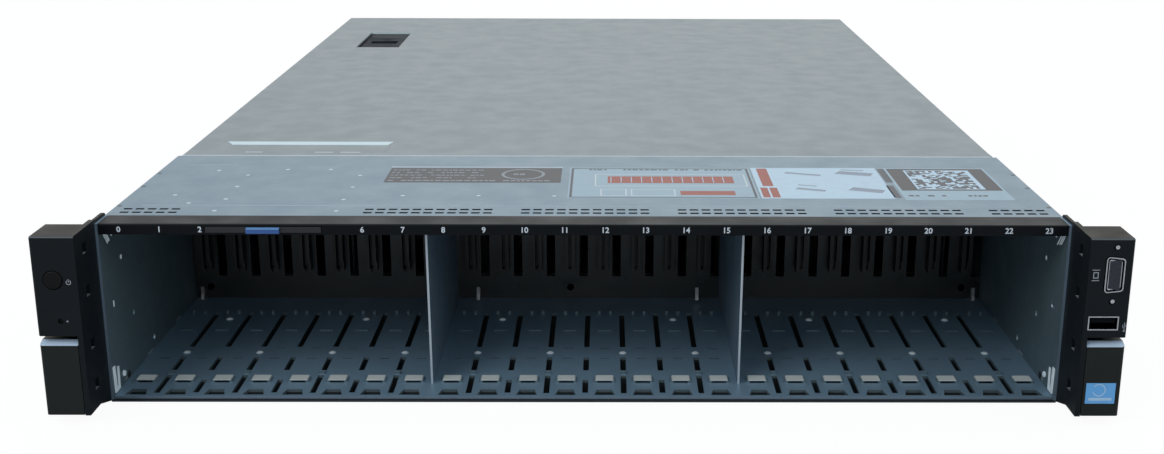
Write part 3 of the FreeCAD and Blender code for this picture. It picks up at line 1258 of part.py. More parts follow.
def bevelled_rect(x, z, wide, tall, corner):
    """Rectangle with its two upper corners cut off."""
    left, right, low, high = x - wide / 2, x + wide / 2, z - tall / 2, z + tall / 2
    return [(left, low), (right, low), (right, high - corner), (right - corner, high),
            (left + corner, high), (left, high - corner)]


def bail_handle(x):
    """Upright finger loop on a supply's rear face."""
    low, high = HANDLE_Z
    end = BODY_DEPTH + SUPPLY_REACH
    left = x + HANDLE_SHIFT - HANDLE_THICKNESS / 2
    right = left + HANDLE_THICKNESS
    bail = prism("x", rect(SUPPLY_FACE - 0.5, end, low, high), left, right)
    bail = rounded(bail, "x", HANDLE_ROUND, lambda p: p.y > end - 1)
    finger_room = rect(SUPPLY_FACE - 1, end - HANDLE_BAR, low + HANDLE_BAR, high - HANDLE_BAR)
    return bail.cut(prism("x", finger_room, left - 1, right + 1))


def fan_guard(x):
    """Round finger guard: rings and crossed spokes."""
    front = SUPPLY_FACE - GUARD_SHEET
    pieces = []
    for radius in GUARD_RINGS:
        disc = rod("y", x, SUPPLY_Z, radius + GUARD_WIRE / 2, front, SUPPLY_FACE)
        pieces.append(disc.cut(rod("y", x, SUPPLY_Z, radius - GUARD_WIRE / 2, front - 1,
                                   SUPPLY_FACE + 1)))
    reach = SUPPLY_FAN_BORE + 1
    spoke = box(x - reach, x + reach, front, SUPPLY_FACE, SUPPLY_Z - GUARD_WIRE / 2,
                SUPPLY_Z + GUARD_WIRE / 2)
    return pieces + [turned(spoke, "y", angle, V(x, 0, SUPPLY_Z)) for angle in (45, 135)]


def power_supply(index):
    """Supply case with inlet, fan duct and guard, edge connector and a fixed bail handle."""
    x = SUPPLY_X[index]
    case = box(x - SUPPLY_WIDTH / 2, x + SUPPLY_WIDTH / 2, SUPPLY_FRONT, SUPPLY_FACE, SUPPLY_BASE,
               SUPPLY_TOP)
    case = rounded(case, "y", 1.0)
    wide, thick, reach = SUPPLY_EDGE
    edge = box(x - wide / 2, x + wide / 2, SUPPLY_FRONT - reach, SUPPLY_FRONT,
               SUPPLY_Z - thick / 2, SUPPLY_Z + thick / 2)
    fan_place = x + SUPPLY_FAN_SHIFT
    duct_end = SUPPLY_FACE - SUPPLY_FAN_DEPTH
    duct = rod("y", fan_place, SUPPLY_Z, SUPPLY_FAN_BORE, duct_end, SUPPLY_FACE + 1)
    inlet_x = x + INLET_SHIFT
    inlet = prism("y", bevelled_rect(inlet_x, SUPPLY_Z, *INLET_SIZE, INLET_CORNER),
                  SUPPLY_FACE - INLET_DEPTH, SUPPLY_FACE + 1)
    thick, tall = INLET_BLADE
    blades = [box(inlet_x + shift - thick / 2, inlet_x + shift + thick / 2,
                  SUPPLY_FACE - INLET_DEPTH, SUPPLY_FACE - 2, SUPPLY_Z + lift - tall / 2,
                  SUPPLY_Z + lift + tall / 2) for shift, lift in INLET_BLADES]
    bearing = rod("y", fan_place, SUPPLY_Z, BEARING_RADIUS, duct_end - 0.1, duct_end + BEARING_LENGTH)
    bore = rod("y", fan_place, SUPPLY_Z, FAN_SHAFT + RUNNING, duct_end - 4.0,
               duct_end + BEARING_LENGTH + 1)
    tab_x, tab_wide, tab_tall = x + RELEASE_SHIFT, *RELEASE_SIZE
    slot = box(tab_x - tab_wide / 2 - GAP, tab_x + tab_wide / 2 + GAP + RELEASE_TRAVEL,
               SUPPLY_FACE - RELEASE_DEPTH, SUPPLY_FACE + 1,
               SUPPLY_TOP - RELEASE_DROP - tab_tall - GAP, SUPPLY_TOP - RELEASE_DROP + GAP)
    added = [edge, bail_handle(x), bearing] + blades + fan_guard(fan_place)
    return join([case.cut([duct, inlet, slot])] + added).cut(bore)


def supply_fan(index):
    """Small bladed rotor behind a supply's finger guard."""
    spinner = rotor(0, 0, SUPPLY_FAN_HUB, SUPPLY_FAN_BORE - 0.7, 0, SUPPLY_FAN_LENGTH,
                    SUPPLY_FAN_BLADES, FAN_SHAFT, SUPPLY_FAN_LENGTH + 5.0, 50)
    return moved(turned(spinner, "z", 180), SUPPLY_X[index] + SUPPLY_FAN_SHIFT,
                 SUPPLY_FACE - SUPPLY_FAN_FRONT, SUPPLY_Z)


def supply_release(index):
    """Sprung release tab with grip ribs, pushed sideways to free a supply."""
    x = SUPPLY_X[index] + RELEASE_SHIFT
    wide, tall = RELEASE_SIZE
    high = SUPPLY_TOP - RELEASE_DROP
    end = SUPPLY_FACE + RELEASE_PROUD
    tab = box(x - wide / 2, x + wide / 2, SUPPLY_FACE - RELEASE_DEPTH + GAP, end, high - tall, high)
    rib, pitch, proud = RELEASE_RIB
    ribs = [box(x + step * pitch - rib / 2, x + step * pitch + rib / 2, end - 1, end + proud,
                high - tall + 1, high - 1) for step in (-1, 0, 1)]
    return join([tab] + ribs)


# ---------------------------------------------------------------- all pieces
def build_parts():
    parts = {
        "chassis_base": chassis_base(),
        "rear_panel": rear_panel(),
        "drive_cage": drive_cage(),
        "bay_divider_left": bay_divider(-DIVIDER_X),
        "bay_divider_right": bay_divider(DIVIDER_X),
        "front_header": front_header(),
        "front_top_plate": front_top_plate(),
        "tag_holder": tag_holder(),
        "information_tag": information_tag(),
        "tag_pull": tag_pull(),
        "backplane_board": backplane_board(),
        "backplane_connectors": backplane_connectors(),
        "backplane_guides": backplane_guides(),
        "rail_studs": rail_studs(),
        "ear_housing_left": ear_housing_left(),
        "ear_housing_right": ear_housing_right(),
        "latch_lever_left": latch_lever(),
        "latch_lever_right": mirrored(latch_lever()),
        "latch_pins": latch_pins(),
        "rack_screws": rack_screws(),
        "power_button": power_button(),
        "service_button": service_button(),
        "front_video_port": front_video_port(),
        "top_cover": top_cover(),
        "latch_well": latch_well(),
        "cover_latch": cover_latch(),
        "latch_lock": latch_lock(),
        "latch_pin": latch_pin(),
        "fan_cage": fan_cage(),
        "air_shroud": air_shroud(),
        "system_board": system_board(),
        "board_standoffs": board_standoffs(),
        "cpu_sockets": cpu_sockets(),
        "heat_sinks": heat_sinks(),
        "memory_sockets": memory_sockets(),
        "memory_modules": memory_modules(),
        "riser_boards": riser_boards(),
        "slot_covers": slot_covers(),
        "rear_d_ports": rear_d_ports(),
        "usb_ports": usb_ports(),
        "network_ports": network_ports(),
        "supply_cage": supply_cage(),
    }
    for index in range(FAN_COUNT):
        parts[f"fan_frame_{index + 1}"] = fan_frame(index)
        parts[f"fan_rotor_{index + 1}"] = fan_rotor(index)
    for index in range(len(SUPPLY_X)):
        parts[f"power_supply_{index + 1}"] = power_supply(index)
        parts[f"supply_fan_{index + 1}"] = supply_fan(index)
        parts[f"supply_release_{index + 1}"] = supply_release(index)
    return parts


def export_all():
    """Write every piece, with the middle of the whole at y = 0."""
    parts = build_parts()
    whole = Part.makeCompound(list(parts.values())).BoundBox
    shift = -(whole.YMin + whole.YMax) / 2
    os.makedirs("parts", exist_ok=True)
    for name, shape in parts.items():
        piece = moved(shape, y=shift)
        if not piece.isValid():
            print("not valid:", name)
        piece.exportStep(f"parts/{name}.step")
    print(f"{len(parts)} pieces, y shift {shift:.3f}, size {whole.XLength:.2f} x {whole.YLength:.2f}"
          f" x {whole.ZLength:.2f}")


export_all()
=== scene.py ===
import math
import random

import bpy
import bmesh
from mathutils import Matrix, Vector


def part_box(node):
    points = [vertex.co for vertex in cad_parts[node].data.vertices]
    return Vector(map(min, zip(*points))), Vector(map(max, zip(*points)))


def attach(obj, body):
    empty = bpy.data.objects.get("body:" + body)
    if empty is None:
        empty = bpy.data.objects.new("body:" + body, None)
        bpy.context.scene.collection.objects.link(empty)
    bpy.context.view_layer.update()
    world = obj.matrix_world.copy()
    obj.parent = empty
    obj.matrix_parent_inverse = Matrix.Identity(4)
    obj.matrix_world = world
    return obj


# Looks for a 2U rack server. Lengths named in millimetres are turned to metres by MM. Places
# are given from the middle of the header's front face at the underside, and place() adds the
# header's own place in the frame.

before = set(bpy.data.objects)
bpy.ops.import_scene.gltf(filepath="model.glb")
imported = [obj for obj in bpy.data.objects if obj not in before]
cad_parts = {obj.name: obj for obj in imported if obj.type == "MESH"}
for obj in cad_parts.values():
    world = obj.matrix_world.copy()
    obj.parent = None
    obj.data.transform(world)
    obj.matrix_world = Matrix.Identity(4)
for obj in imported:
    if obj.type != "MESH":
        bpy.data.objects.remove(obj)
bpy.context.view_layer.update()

MM = 0.001
HEADER_LOW, HEADER_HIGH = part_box("front_header")
CHASSIS_LOW, CHASSIS_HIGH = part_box("chassis_base")
CAGE_LOW, CAGE_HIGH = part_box("drive_cage")
FACE_Y = HEADER_LOW.y / MM
BODY_WIDTH = (CHASSIS_HIGH.x - CHASSIS_LOW.x) / MM
BODY_HEIGHT = HEADER_HIGH.z / MM
CAGE_DEPTH = (CAGE_HIGH.y - CAGE_LOW.y) / MM
HALF = BODY_WIDTH / 2
SHEET = 1.2
FLOOR_TOP = 2.6
BAY_COUNT = 24
BAY_PITCH = (BODY_WIDTH - 2 * SHEET) / BAY_COUNT
EAR_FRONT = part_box("ear_housing_left")[0].y / MM - FACE_Y
SKIN = 0.06                 # how far printed things stand off the sheet they lie on
DICE = random.Random(7)


def place(x, y, z):
    """A point in the frame, from millimetres right of the middle, behind the header and up."""
    return Vector((x * MM, (y + FACE_Y) * MM, z * MM))


def bay_x(index):
    return (index - (BAY_COUNT - 1) / 2) * BAY_PITCH


# ---------------------------------------------------------------- materials
def srgb(red, green, blue):
    """Linear colour from 0-255 screen values."""
    def linear(value):
        value /= 255
        return value / 12.92 if value <= 0.04045 else ((value + 0.055) / 1.055) ** 2.4
    return (linear(red), linear(green), linear(blue), 1.0)


def scaled(colour, factor):
    return tuple(min(1.0, channel * factor) for channel in colour[:3]) + (1.0,)


class Surface:
    """A Principled material with short calls for the textures that feed it."""

    def __init__(self, name, colour, roughness=0.5, metallic=0.0, specular=0.5):
        self.material = bpy.data.materials.new(name)
        self.material.use_nodes = True
        self.tree = self.material.node_tree
        self.shader = self.tree.nodes["Principled BSDF"]
        self.colour = colour
        self.shader.inputs["Base Color"].default_value = colour
        self.shader.inputs["Roughness"].default_value = roughness
        self.shader.inputs["Metallic"].default_value = metallic
        self.shader.inputs["Specular IOR Level"].default_value = specular
        self.coords = self.tree.nodes.new("ShaderNodeTexCoord").outputs["Object"]
        self.place = self.node("ShaderNodeSeparateXYZ", Vector=self.coords).outputs
        self.facing = self.tree.nodes.new("ShaderNodeNewGeometry").outputs["True Normal"]
        self.facing = self.node("ShaderNodeSeparateXYZ", Vector=self.facing).outputs
        self.base = None
        self.normal = None

    def node(self, kind, **values):
        node = self.tree.nodes.new(kind)
        for name, value in values.items():
            self.feed(node.inputs[name.replace("_", " ")], value)
        return node

    def feed(self, socket, value):
        if isinstance(value, bpy.types.NodeSocket):
            self.tree.links.new(value, socket)
        else:
            socket.default_value = value

    def maths(self, operation, first, second):
        node = self.tree.nodes.new("ShaderNodeMath")
        node.operation = operation
        self.feed(node.inputs[0], first)
        self.feed(node.inputs[1], second)
        return node.outputs[0]

    def both(self, first, second):
        """The product: 1 where two masks are 1, or a mask at a given strength."""
        return self.maths("MULTIPLY", first, second)

    def noise(self, scale, detail=3.0, stretch=None):
        vector = self.coords
        if stretch:
            vector = self.node("ShaderNodeMapping", Vector=self.coords, Scale=stretch).outputs[0]
        node = self.node("ShaderNodeTexNoise", Vector=vector, Scale=scale, Detail=detail)
        return node.outputs["Fac"]

    def cell_grey(self, scale):
        """A random grey for each cell of a pattern."""
        cells = self.node("ShaderNodeTexVoronoi", Vector=self.coords, Scale=scale)
        return self.node("ShaderNodeSeparateColor", Color=cells.outputs["Color"]).outputs[0]

    def span(self, value, low, high, to_low=0.0, to_high=1.0):
        node = self.tree.nodes.new("ShaderNodeMapRange")
        self.tree.links.new(value, node.inputs["Value"])
        for name, number in (("From Min", low), ("From Max", high), ("To Min", to_low),
                             ("To Max", to_high)):
            node.inputs[name].default_value = number
        return node.outputs["Result"]

    def band(self, axis, low, high, blur=0.05):
        """1 between two object coordinates, in millimetres, on an axis (0, 1 or 2)."""
        rise = self.span(self.place[axis], (low - blur) * MM, (low + blur) * MM)
        fall = self.span(self.place[axis], (high - blur) * MM, (high + blur) * MM, 1.0, 0.0)
        return self.both(rise, fall)

    def depth_band(self, low, high):
        """1 between two distances behind the header's face, in millimetres."""
        return self.band(1, low + FACE_Y, high + FACE_Y)

    def glint(self, mask, colour, strength):
        """Painted glint: a little light of its own where the mask is 1, standing for highlights that
        catch the lamps.
        """
        self.shader.inputs["Emission Color"].default_value = colour
        self.tree.links.new(self.both(mask, strength), self.shader.inputs["Emission Strength"])

    def towards(self, axis, sign, low=0.5, high=0.9):
        """1 where the surface faces along an axis."""
        return self.span(self.both(self.facing[axis], float(sign)), low, high)

    def tint(self, factor, colour):
        """Mix a colour over the base where the factor is high."""
        mix = self.tree.nodes.new("ShaderNodeMix")
        mix.data_type = "RGBA"
        self.tree.links.new(factor, mix.inputs["Factor"])
        first, second = [socket for socket in mix.inputs if socket.type == "RGBA"]
        self.feed(first, self.colour if self.base is None else self.base)
        second.default_value = colour
        self.base = [out for out in mix.outputs if out.type == "RGBA"][0]
        self.tree.links.new(self.base, self.shader.inputs["Base Color"])
        return self

    def rough(self, value, low, high):
        self.tree.links.new(self.span(value, 0.3, 0.7, low, high), self.shader.inputs["Roughness"])
        return self

    def bump(self, height, strength, distance):
        node = self.node("ShaderNodeBump", Height=height, Strength=strength, Distance=distance)
        if self.normal is not None:
            self.tree.links.new(self.normal, node.inputs["Normal"])
        self.normal = node.outputs["Normal"]
        self.tree.links.new(self.normal, self.shader.inputs["Normal"])
        return self


ZINC_SHINE = 0.35            # how far zinc-coated sheet behaves as a metal
# Fineness of each texture, per metre: a larger number is a finer pattern.
SPANGLE = 420.0
SMUDGES = 70.0
STREAKS = 260.0
STREAK_STRETCH = (1.0, 0.02, 1.0)
SHEET_GLOSS = 60.0
SHEET_GRAIN = 900.0
DUST = 60.0
PLASTIC_GLOSS = 45.0
PLASTIC_GRAIN = 1400.0
TARNISH = 300.0
METAL_GLOSS = 500.0
TRACKS = 220.0
TRACK_STRETCH = (0.3, 1.0, 1.0)
MASK_GLOSS = 60.0
INK_WEAR = 160.0


def sheet_steel(name, colour, shade, roughness=0.42):
    """Zinc-coated sheet: faint spangle, rolled streaks, light smudges and fine scratches."""
    surface = Surface(name, colour, roughness, ZINC_SHINE)
    surface.tint(surface.span(surface.cell_grey(SPANGLE), 0.0, 1.0, 0.0, 0.25), shade)
    surface.tint(surface.span(surface.noise(SMUDGES, 5.0), 0.45, 0.7, 0.0, 0.1), shade)
    streaks = surface.noise(STREAKS, 2.0, STREAK_STRETCH)
    surface.tint(surface.span(streaks, 0.45, 0.7, 0.0, 0.15), shade)
    surface.rough(surface.noise(SHEET_GLOSS, 4.0), roughness - 0.06, roughness + 0.08)
    surface.bump(surface.noise(SHEET_GRAIN, 2.0), 0.04, 0.0002)
    return surface


def moulded(name, colour, roughness=0.5, specular=0.5):
    """Moulded plastic with a fine texture, faint dust and slightly uneven gloss."""
    surface = Surface(name, colour, roughness, 0.0, specular)
    surface.tint(surface.span(surface.noise(DUST, 5.0), 0.5, 0.78, 0.0, 0.35), scaled(colour, 1.6))
    surface.rough(surface.noise(PLASTIC_GLOSS, 4.0), roughness - 0.08, roughness + 0.1)
    surface.bump(surface.noise(PLASTIC_GRAIN, 2.0), 0.1, 0.00015)
    return surface


def metal(name, colour, roughness=0.3):
    surface = Surface(name, colour, roughness, 1.0)
    surface.tint(surface.span(surface.noise(TARNISH), 0.45, 0.75, 0.0, 0.5), scaled(colour, 0.7))
    surface.rough(surface.noise(METAL_GLOSS), roughness - 0.08, roughness + 0.12)
    return surface


def board(name, colour):
    """Solder-masked circuit board with pale traces of tracks under the mask."""
    surface = Surface(name, colour, 0.35)
    tracks = surface.noise(TRACKS, 1.0, TRACK_STRETCH)
    surface.tint(surface.span(tracks, 0.5, 0.56, 0.0, 0.6), scaled(colour, 1.8))
    surface.rough(surface.noise(MASK_GLOSS), 0.25, 0.5)
    return surface


def printed(name, colour, roughness=0.55):
    surface = Surface(name, colour, roughness)
    surface.tint(surface.span(surface.noise(INK_WEAR, 4.0), 0.5, 0.8, 0.0, 0.5), scaled(colour, 0.85))
    return surface


def cover_steel():
    surface = sheet_steel("cover_steel", srgb(141, 152, 156), srgb(130, 143, 149), 0.5)
    # Painted highlight: faces turned to the front are painted near white.
    return surface.tint(surface.towards(1, -1, 0.1, 0.35), srgb(222, 240, 245))


# Stretches of metal and plastic that get painted shade or painted highlights, in millimetres:
# depths behind the header's face, heights, and reaches across.
VENT_DEPTHS = (16.0, 30.0)
FOLD_DEPTHS = ((32.0, 35.0), (114.0, 117.0))
BRIDGE_DEPTHS = (17.5, 25.0)
BRIDGE_HEIGHTS = (FLOOR_TOP + 1.1, FLOOR_TOP + 2.0)
DIMPLE_DEPTHS = ((54.0, 62.0), (104.5, 112.0))
DIMPLE_HEIGHTS = (FLOOR_TOP + 0.25, FLOOR_TOP + 1.2)
PLATE_UNDERSIDE = BODY_HEIGHT - SHEET - 0.3
GROOVE_HEIGHTS = (BODY_HEIGHT - 0.4, BODY_HEIGHT - 0.03)
CAGE_LIP_DEPTHS = (-1.0, 1.5)
TRAY_FLOOR_HEIGHTS = (SHEET - 0.3, SHEET + 0.3)
TRAY_SHADE_DEPTHS = (-1.0, CAGE_DEPTH)
WALL_INSIDE = (SHEET - HALF, HALF - SHEET)
WALL_OVERLAP = 0.1
TONGUE_REACH = 2.2
POCKET_HEIGHTS = (8.0, 84.0)
MOUTH_START = 0.45
# Painted glow that stands for glints: its colour, then its strength on the cage and on wall marks.
GLINT_COLOUR = srgb(200, 215, 222)
PAINTED_GLINT_GLOW = 0.12
MARK_GLOW = 0.16


def plate_steel():
    surface = sheet_steel("plate_steel", srgb(131, 153, 166), srgb(120, 142, 157), 0.48)
    # Painted shade: faces below the plate's top skin are painted near black, as the shadow seen
    # through the vents.
    surface.tint(surface.band(2, 0.0, PLATE_UNDERSIDE), srgb(8, 10, 12))
    # Painted shade: upright faces in the vent stretch are painted black, as the shade inside the
    # slots.
    upright = surface.maths("SUBTRACT", 1.0, surface.towards(2, 1, 0.2, 0.8))
    surface.tint(surface.both(upright, surface.depth_band(*VENT_DEPTHS)), srgb(4, 5, 6))
    # Painted highlight: the top edges of the two folds are painted pale.
    folds = surface.maths("ADD", *[surface.depth_band(*depths) for depths in FOLD_DEPTHS])
    groove_highlight = surface.both(surface.band(2, *GROOVE_HEIGHTS, 0.01), folds)
    return surface.tint(groove_highlight, srgb(215, 228, 235))


def divider_steel():
    surface = sheet_steel("divider_steel", srgb(105, 125, 140), srgb(86, 104, 120), 0.45)
    # Painted highlight: faces of the dividers turned to the front are painted pale.
    return surface.tint(surface.towards(1, -1), srgb(185, 195, 202))


def cage_steel():
    """The drive cage: blue-grey sheet, with painted highlights and a painted glow on the tops of its
    lances and dimples.
    """
    surface = sheet_steel("cage_steel", srgb(104, 122, 128), srgb(84, 104, 112), 0.42)
    # Painted light: faces turned up are painted lighter.
    surface.tint(surface.towards(2, 1), srgb(141, 171, 191))
    inside = surface.band(0, *WALL_INSIDE, 0.02)
    # Painted highlight: the tops of the lances are painted near white.
    bridges = surface.both(surface.band(2, *BRIDGE_HEIGHTS), surface.depth_band(*BRIDGE_DEPTHS))
    surface.tint(surface.both(inside, bridges), srgb(225, 226, 218))
    # Painted highlight: the tops of the dimples are painted near white.
    dimple_rows = surface.maths("ADD", *[surface.depth_band(*depths) for depths in DIMPLE_DEPTHS])
    dimples = surface.both(surface.band(2, *DIMPLE_HEIGHTS), dimple_rows)
    surface.tint(surface.both(inside, dimples), srgb(238, 246, 250))
    # Painted glint: the up-facing tops of the lances and dimples also glow a little.
    painted_glints = surface.both(inside, surface.maths("MAXIMUM", bridges, dimples))
    surface.glint(surface.both(painted_glints, surface.towards(2, 1)), GLINT_COLOUR, PAINTED_GLINT_GLOW)
    # Painted highlight: the front faces of the cage's front lip are painted lighter.
    front_edge = surface.both(surface.towards(1, -1), surface.depth_band(*CAGE_LIP_DEPTHS))
    return surface.tint(front_edge, srgb(112, 130, 146))


def chassis_steel():
    """The tray, darkened all over as painted shade; its face under the bay floor is painted near black
    as shadow, seen only through the slots.
    """
    # Painted shade: the base colour is darkened to stand for the shadow over the tray.
    surface = sheet_steel("chassis_steel", srgb(46, 54, 61), srgb(36, 44, 52), 0.45)
    # Painted shadow: the face under the bay floor is painted near black.
    under_floor = surface.both(surface.band(2, *TRAY_FLOOR_HEIGHTS),
                               surface.depth_band(*TRAY_SHADE_DEPTHS))
    return surface.tint(under_floor, srgb(6, 7, 9))


def front_port_metal():
    """Plated shells of the front ports, with painted shade inside their mouths."""
    surface = metal("front_port_metal", srgb(190, 192, 195), 0.28)
    # Painted shade: faces behind the mouths are painted near black.
    return surface.tint(surface.depth_band(EAR_FRONT + MOUTH_START, 0.0), srgb(20, 21, 23))


def header_plastic():
    surface = moulded("header_black", srgb(14, 17, 21), 0.45, specular=0.09)
    # Painted reflection: faces turned up are painted lighter, as the sheen on the black plastic.
    return surface.tint(surface.towards(2, 1, 0.4, 0.9), srgb(39, 42, 43))


def ear_plastic():
    surface = moulded("ear_black", srgb(24, 28, 31), 0.42, specular=0.09)
    # Painted reflection: faces turned up are painted lighter.
    surface.tint(surface.towards(2, 1, 0.3, 0.9), srgb(39, 38, 32))
    # Painted highlight: the front-top edge is painted pale.
    edge = surface.both(surface.towards(1, -1, 0.2, 0.5), surface.towards(2, 1, 0.2, 0.5))
    surface.tint(edge, srgb(104, 110, 114))
    # Painted highlight: up-facing ledges of the pockets on the inner flanks are painted pale grey.
    walls = surface.maths("ADD", surface.band(0, -HALF - TONGUE_REACH, -HALF + WALL_OVERLAP),
                          surface.band(0, HALF - WALL_OVERLAP, HALF + TONGUE_REACH))
    ledges = surface.both(surface.both(walls, surface.towards(2, 1)), surface.band(2, *POCKET_HEIGHTS))
    return surface.tint(ledges, srgb(150, 156, 156))


def lever_plastic():
    surface = moulded("lever_black", srgb(30, 33, 31), 0.42, specular=0.16)
    # Painted highlight: the upper front edge of the lip is painted near white.
    lip = surface.both(surface.towards(1, -1, 0.2, 0.35), surface.towards(2, 1, 0.5, 0.7))
    return surface.tint(lip, srgb(216, 236, 255))


def grip_plastic():
    surface = moulded("blue_grip", srgb(48, 88, 150), 0.4)
    # Painted highlight: faces turned up are painted lighter blue.
    return surface.tint(surface.towards(2, 1, 0.3, 0.7), srgb(110, 160, 215))


def glinting_zinc():
    """Pale zinc that glows a little by itself: a painted glint standing for the highlights it catches.
    """
    surface = printed("bright_zinc", srgb(225, 235, 240), 0.3)
    # Painted glow, standing for glints.
    surface.shader.inputs["Emission Color"].default_value = GLINT_COLOUR
    surface.shader.inputs["Emission Strength"].default_value = MARK_GLOW
    return surface


COVER_STEEL = cover_steel().material
PLATE_STEEL = plate_steel().material
CAGE_STEEL = cage_steel().material
DIVIDER_STEEL = divider_steel().material
CHASSIS_STEEL = chassis_steel().material
FRONT_PORT = front_port_metal().material
EAR = ear_plastic().material
LEVER = lever_plastic().material
HEADER = header_plastic().material
BUTTON = moulded("button_plastic", srgb(12, 13, 14), 0.5, specular=0.12).material
LATCH = moulded("latch_plastic", srgb(34, 42, 48), 0.6, specular=0.06).material
WELL = sheet_steel("well_steel", srgb(58, 64, 68), srgb(40, 46, 50)).material
BLUE = grip_plastic().material
TAG = moulded("tag_plastic", srgb(14, 16, 20), 0.4).material
BOARD = board("backplane_mask", srgb(13, 20, 22)).material
GREEN_BOARD = board("board_mask", srgb(20, 70, 48)).material
SOCKET = moulded("socket_plastic", srgb(9, 11, 12), 0.5).material
PORT_METAL = metal("port_metal", srgb(190, 192, 195), 0.28).material
STEEL = metal("plain_steel", srgb(175, 177, 180), 0.35).material
FAN = moulded("fan_plastic", srgb(24, 24, 26), 0.5).material
ALUMINIUM = metal("sink_aluminium", srgb(205, 207, 210), 0.35).material
SUPPLY_STEEL = sheet_steel("supply_steel", srgb(150, 156, 160), srgb(130, 138, 144)).material
ORANGE = moulded("release_orange", srgb(215, 95, 40), 0.4).material
WHITE_INK = printed("white_ink", srgb(215, 222, 228)).material
ICON_INK = printed("icon_ink", srgb(150, 155, 160)).material
PORT_BLUE = moulded("port_blue", srgb(22, 27, 40), 0.45).material
# Near black, for painted shade in holes.
DARK = moulded("mouth_dark", srgb(8, 8, 9), 0.6).material
STICKER = printed("sticker_blue", srgb(106, 176, 234), 0.35).material
STICKER_PALE = printed("sticker_pale", srgb(180, 210, 235), 0.35).material
TAUPE = printed("label_taupe", srgb(58, 62, 66), 0.5).material
PALE = printed("label_pale", srgb(168, 197, 211), 0.45).material
PAPER = printed("label_paper", srgb(210, 238, 255), 0.45).material
LABEL_ORANGE = printed("label_orange", srgb(160, 66, 44), 0.45).material
LABEL_INK = printed("label_ink", srgb(70, 76, 84), 0.5).material
LABEL_WHITE = printed("label_white", srgb(225, 235, 240), 0.45).material
LABEL_GREY = printed("label_grey", srgb(150, 165, 180), 0.5).material
FINE_PRINT = printed("fine_print", srgb(150, 160, 168), 0.5).material
MARK_BRIGHT = glinting_zinc().material
MARK_DIM = printed("dim_zinc", srgb(90, 110, 125), 0.5).material

NODE_MATERIALS = {
    "chassis_base": CHASSIS_STEEL, "drive_cage": CAGE_STEEL, "rear_panel": SUPPLY_STEEL,
    "bay_divider_left": DIVIDER_STEEL, "bay_divider_right": DIVIDER_STEEL,
    "front_header": HEADER, "front_top_plate": PLATE_STEEL, "tag_holder": SUPPLY_STEEL,
    "information_tag": TAG, "tag_pull": BLUE, "backplane_board": BOARD,
    "backplane_connectors": SOCKET, "backplane_guides": STEEL, "rail_studs": STEEL,
    "ear_housing_left": EAR, "ear_housing_right": EAR, "latch_lever_left": LEVER,
    "latch_lever_right": LEVER, "latch_pins": STEEL, "rack_screws": STEEL,
    "power_button": BUTTON, "service_button": BUTTON, "front_video_port": FRONT_PORT,
    "usb_ports": FRONT_PORT, "top_cover": COVER_STEEL, "latch_well": WELL,
    "cover_latch": LATCH, "latch_lock": LATCH, "latch_pin": STEEL, "fan_cage": SUPPLY_STEEL,
    "air_shroud": FAN, "system_board": GREEN_BOARD, "board_standoffs": STEEL,
    "cpu_sockets": SOCKET, "heat_sinks": ALUMINIUM, "memory_sockets": SOCKET,
    "memory_modules": GREEN_BOARD, "riser_boards": GREEN_BOARD, "slot_covers": SUPPLY_STEEL,
    "rear_d_ports": PORT_METAL, "network_ports": PORT_METAL, "supply_cage": SUPPLY_STEEL,
}
SERIES_MATERIALS = {"fan_": FAN, "supply_fan_": FAN, "power_supply_": SUPPLY_STEEL,
                    "supply_release_": ORANGE}


def material_of(node):
    """A node's own finish, or that of the numbered series it belongs to."""
    if node in NODE_MATERIALS:
        return NODE_MATERIALS[node]
    return next(finish for start, finish in SERIES_MATERIALS.items() if node.startswith(start))


def dress_nodes():
    """Give every CAD node its finish."""
    for name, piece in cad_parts.items():
        piece.data.materials.clear()
        piece.data.materials.append(material_of(name))


# ---------------------------------------------------------------- making pieces
FRONT_FACING = Matrix.Rotation(math.radians(90), 4, "X")
UPRIGHT = Matrix.Identity(4)
ARC_STEPS = 16


def add_piece(name, shape, material, body):
    """Turn a bmesh into a piece that moves with a body."""
    mesh = bpy.data.meshes.new(name)
    shape.to_mesh(mesh)
    shape.free()
    piece = bpy.data.objects.new(name, mesh)
    bpy.context.scene.collection.objects.link(piece)
    mesh.materials.append(material)
    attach(piece, body)
    return piece


def extrude(shape, points, low, high, stand=UPRIGHT):
    """Add a flat outline of millimetre points, drawn between two heights, and stand it up."""
    bottom = [shape.verts.new(stand @ Vector((x * MM, y * MM, low * MM))) for x, y in points]
    top = [shape.verts.new(stand @ Vector((x * MM, y * MM, high * MM))) for x, y in points]
    count = len(points)
    shape.faces.new(list(reversed(bottom)))
    shape.faces.new(top)
    for step in range(count):
        following = (step + 1) % count
        shape.faces.new((bottom[step], bottom[following], top[following], top[step]))


def oblong(left, right, low, high):
    return [(left, low), (right, low), (right, high), (left, high)]


def circle(x, y, radius, steps=20):
    turns = [math.radians(360.0 * step / steps) for step in range(steps)]
    return [(x + radius * math.cos(turn), y + radius * math.sin(turn)) for turn in turns]


def frame_bars(left, right, low, high, bar):
    """The four bars of a picture frame."""
    return [oblong(left, right, low, low + bar), oblong(left, right, high - bar, high),
            oblong(left, left + bar, low + bar, high - bar),
            oblong(right - bar, right, low + bar, high - bar)]


def arc_band(x, y, radius, width, start, sweep):
    """A curved stroke."""
    turns = [math.radians(start + sweep * step / ARC_STEPS) for step in range(ARC_STEPS + 1)]
    outer = [(x + (radius + width / 2) * math.cos(turn), y + (radius + width / 2) * math.sin(turn))
             for turn in turns]
    inner = [(x + (radius - width / 2) * math.cos(turn), y + (radius - width / 2) * math.sin(turn))
             for turn in turns]
    return outer + inner[::-1]


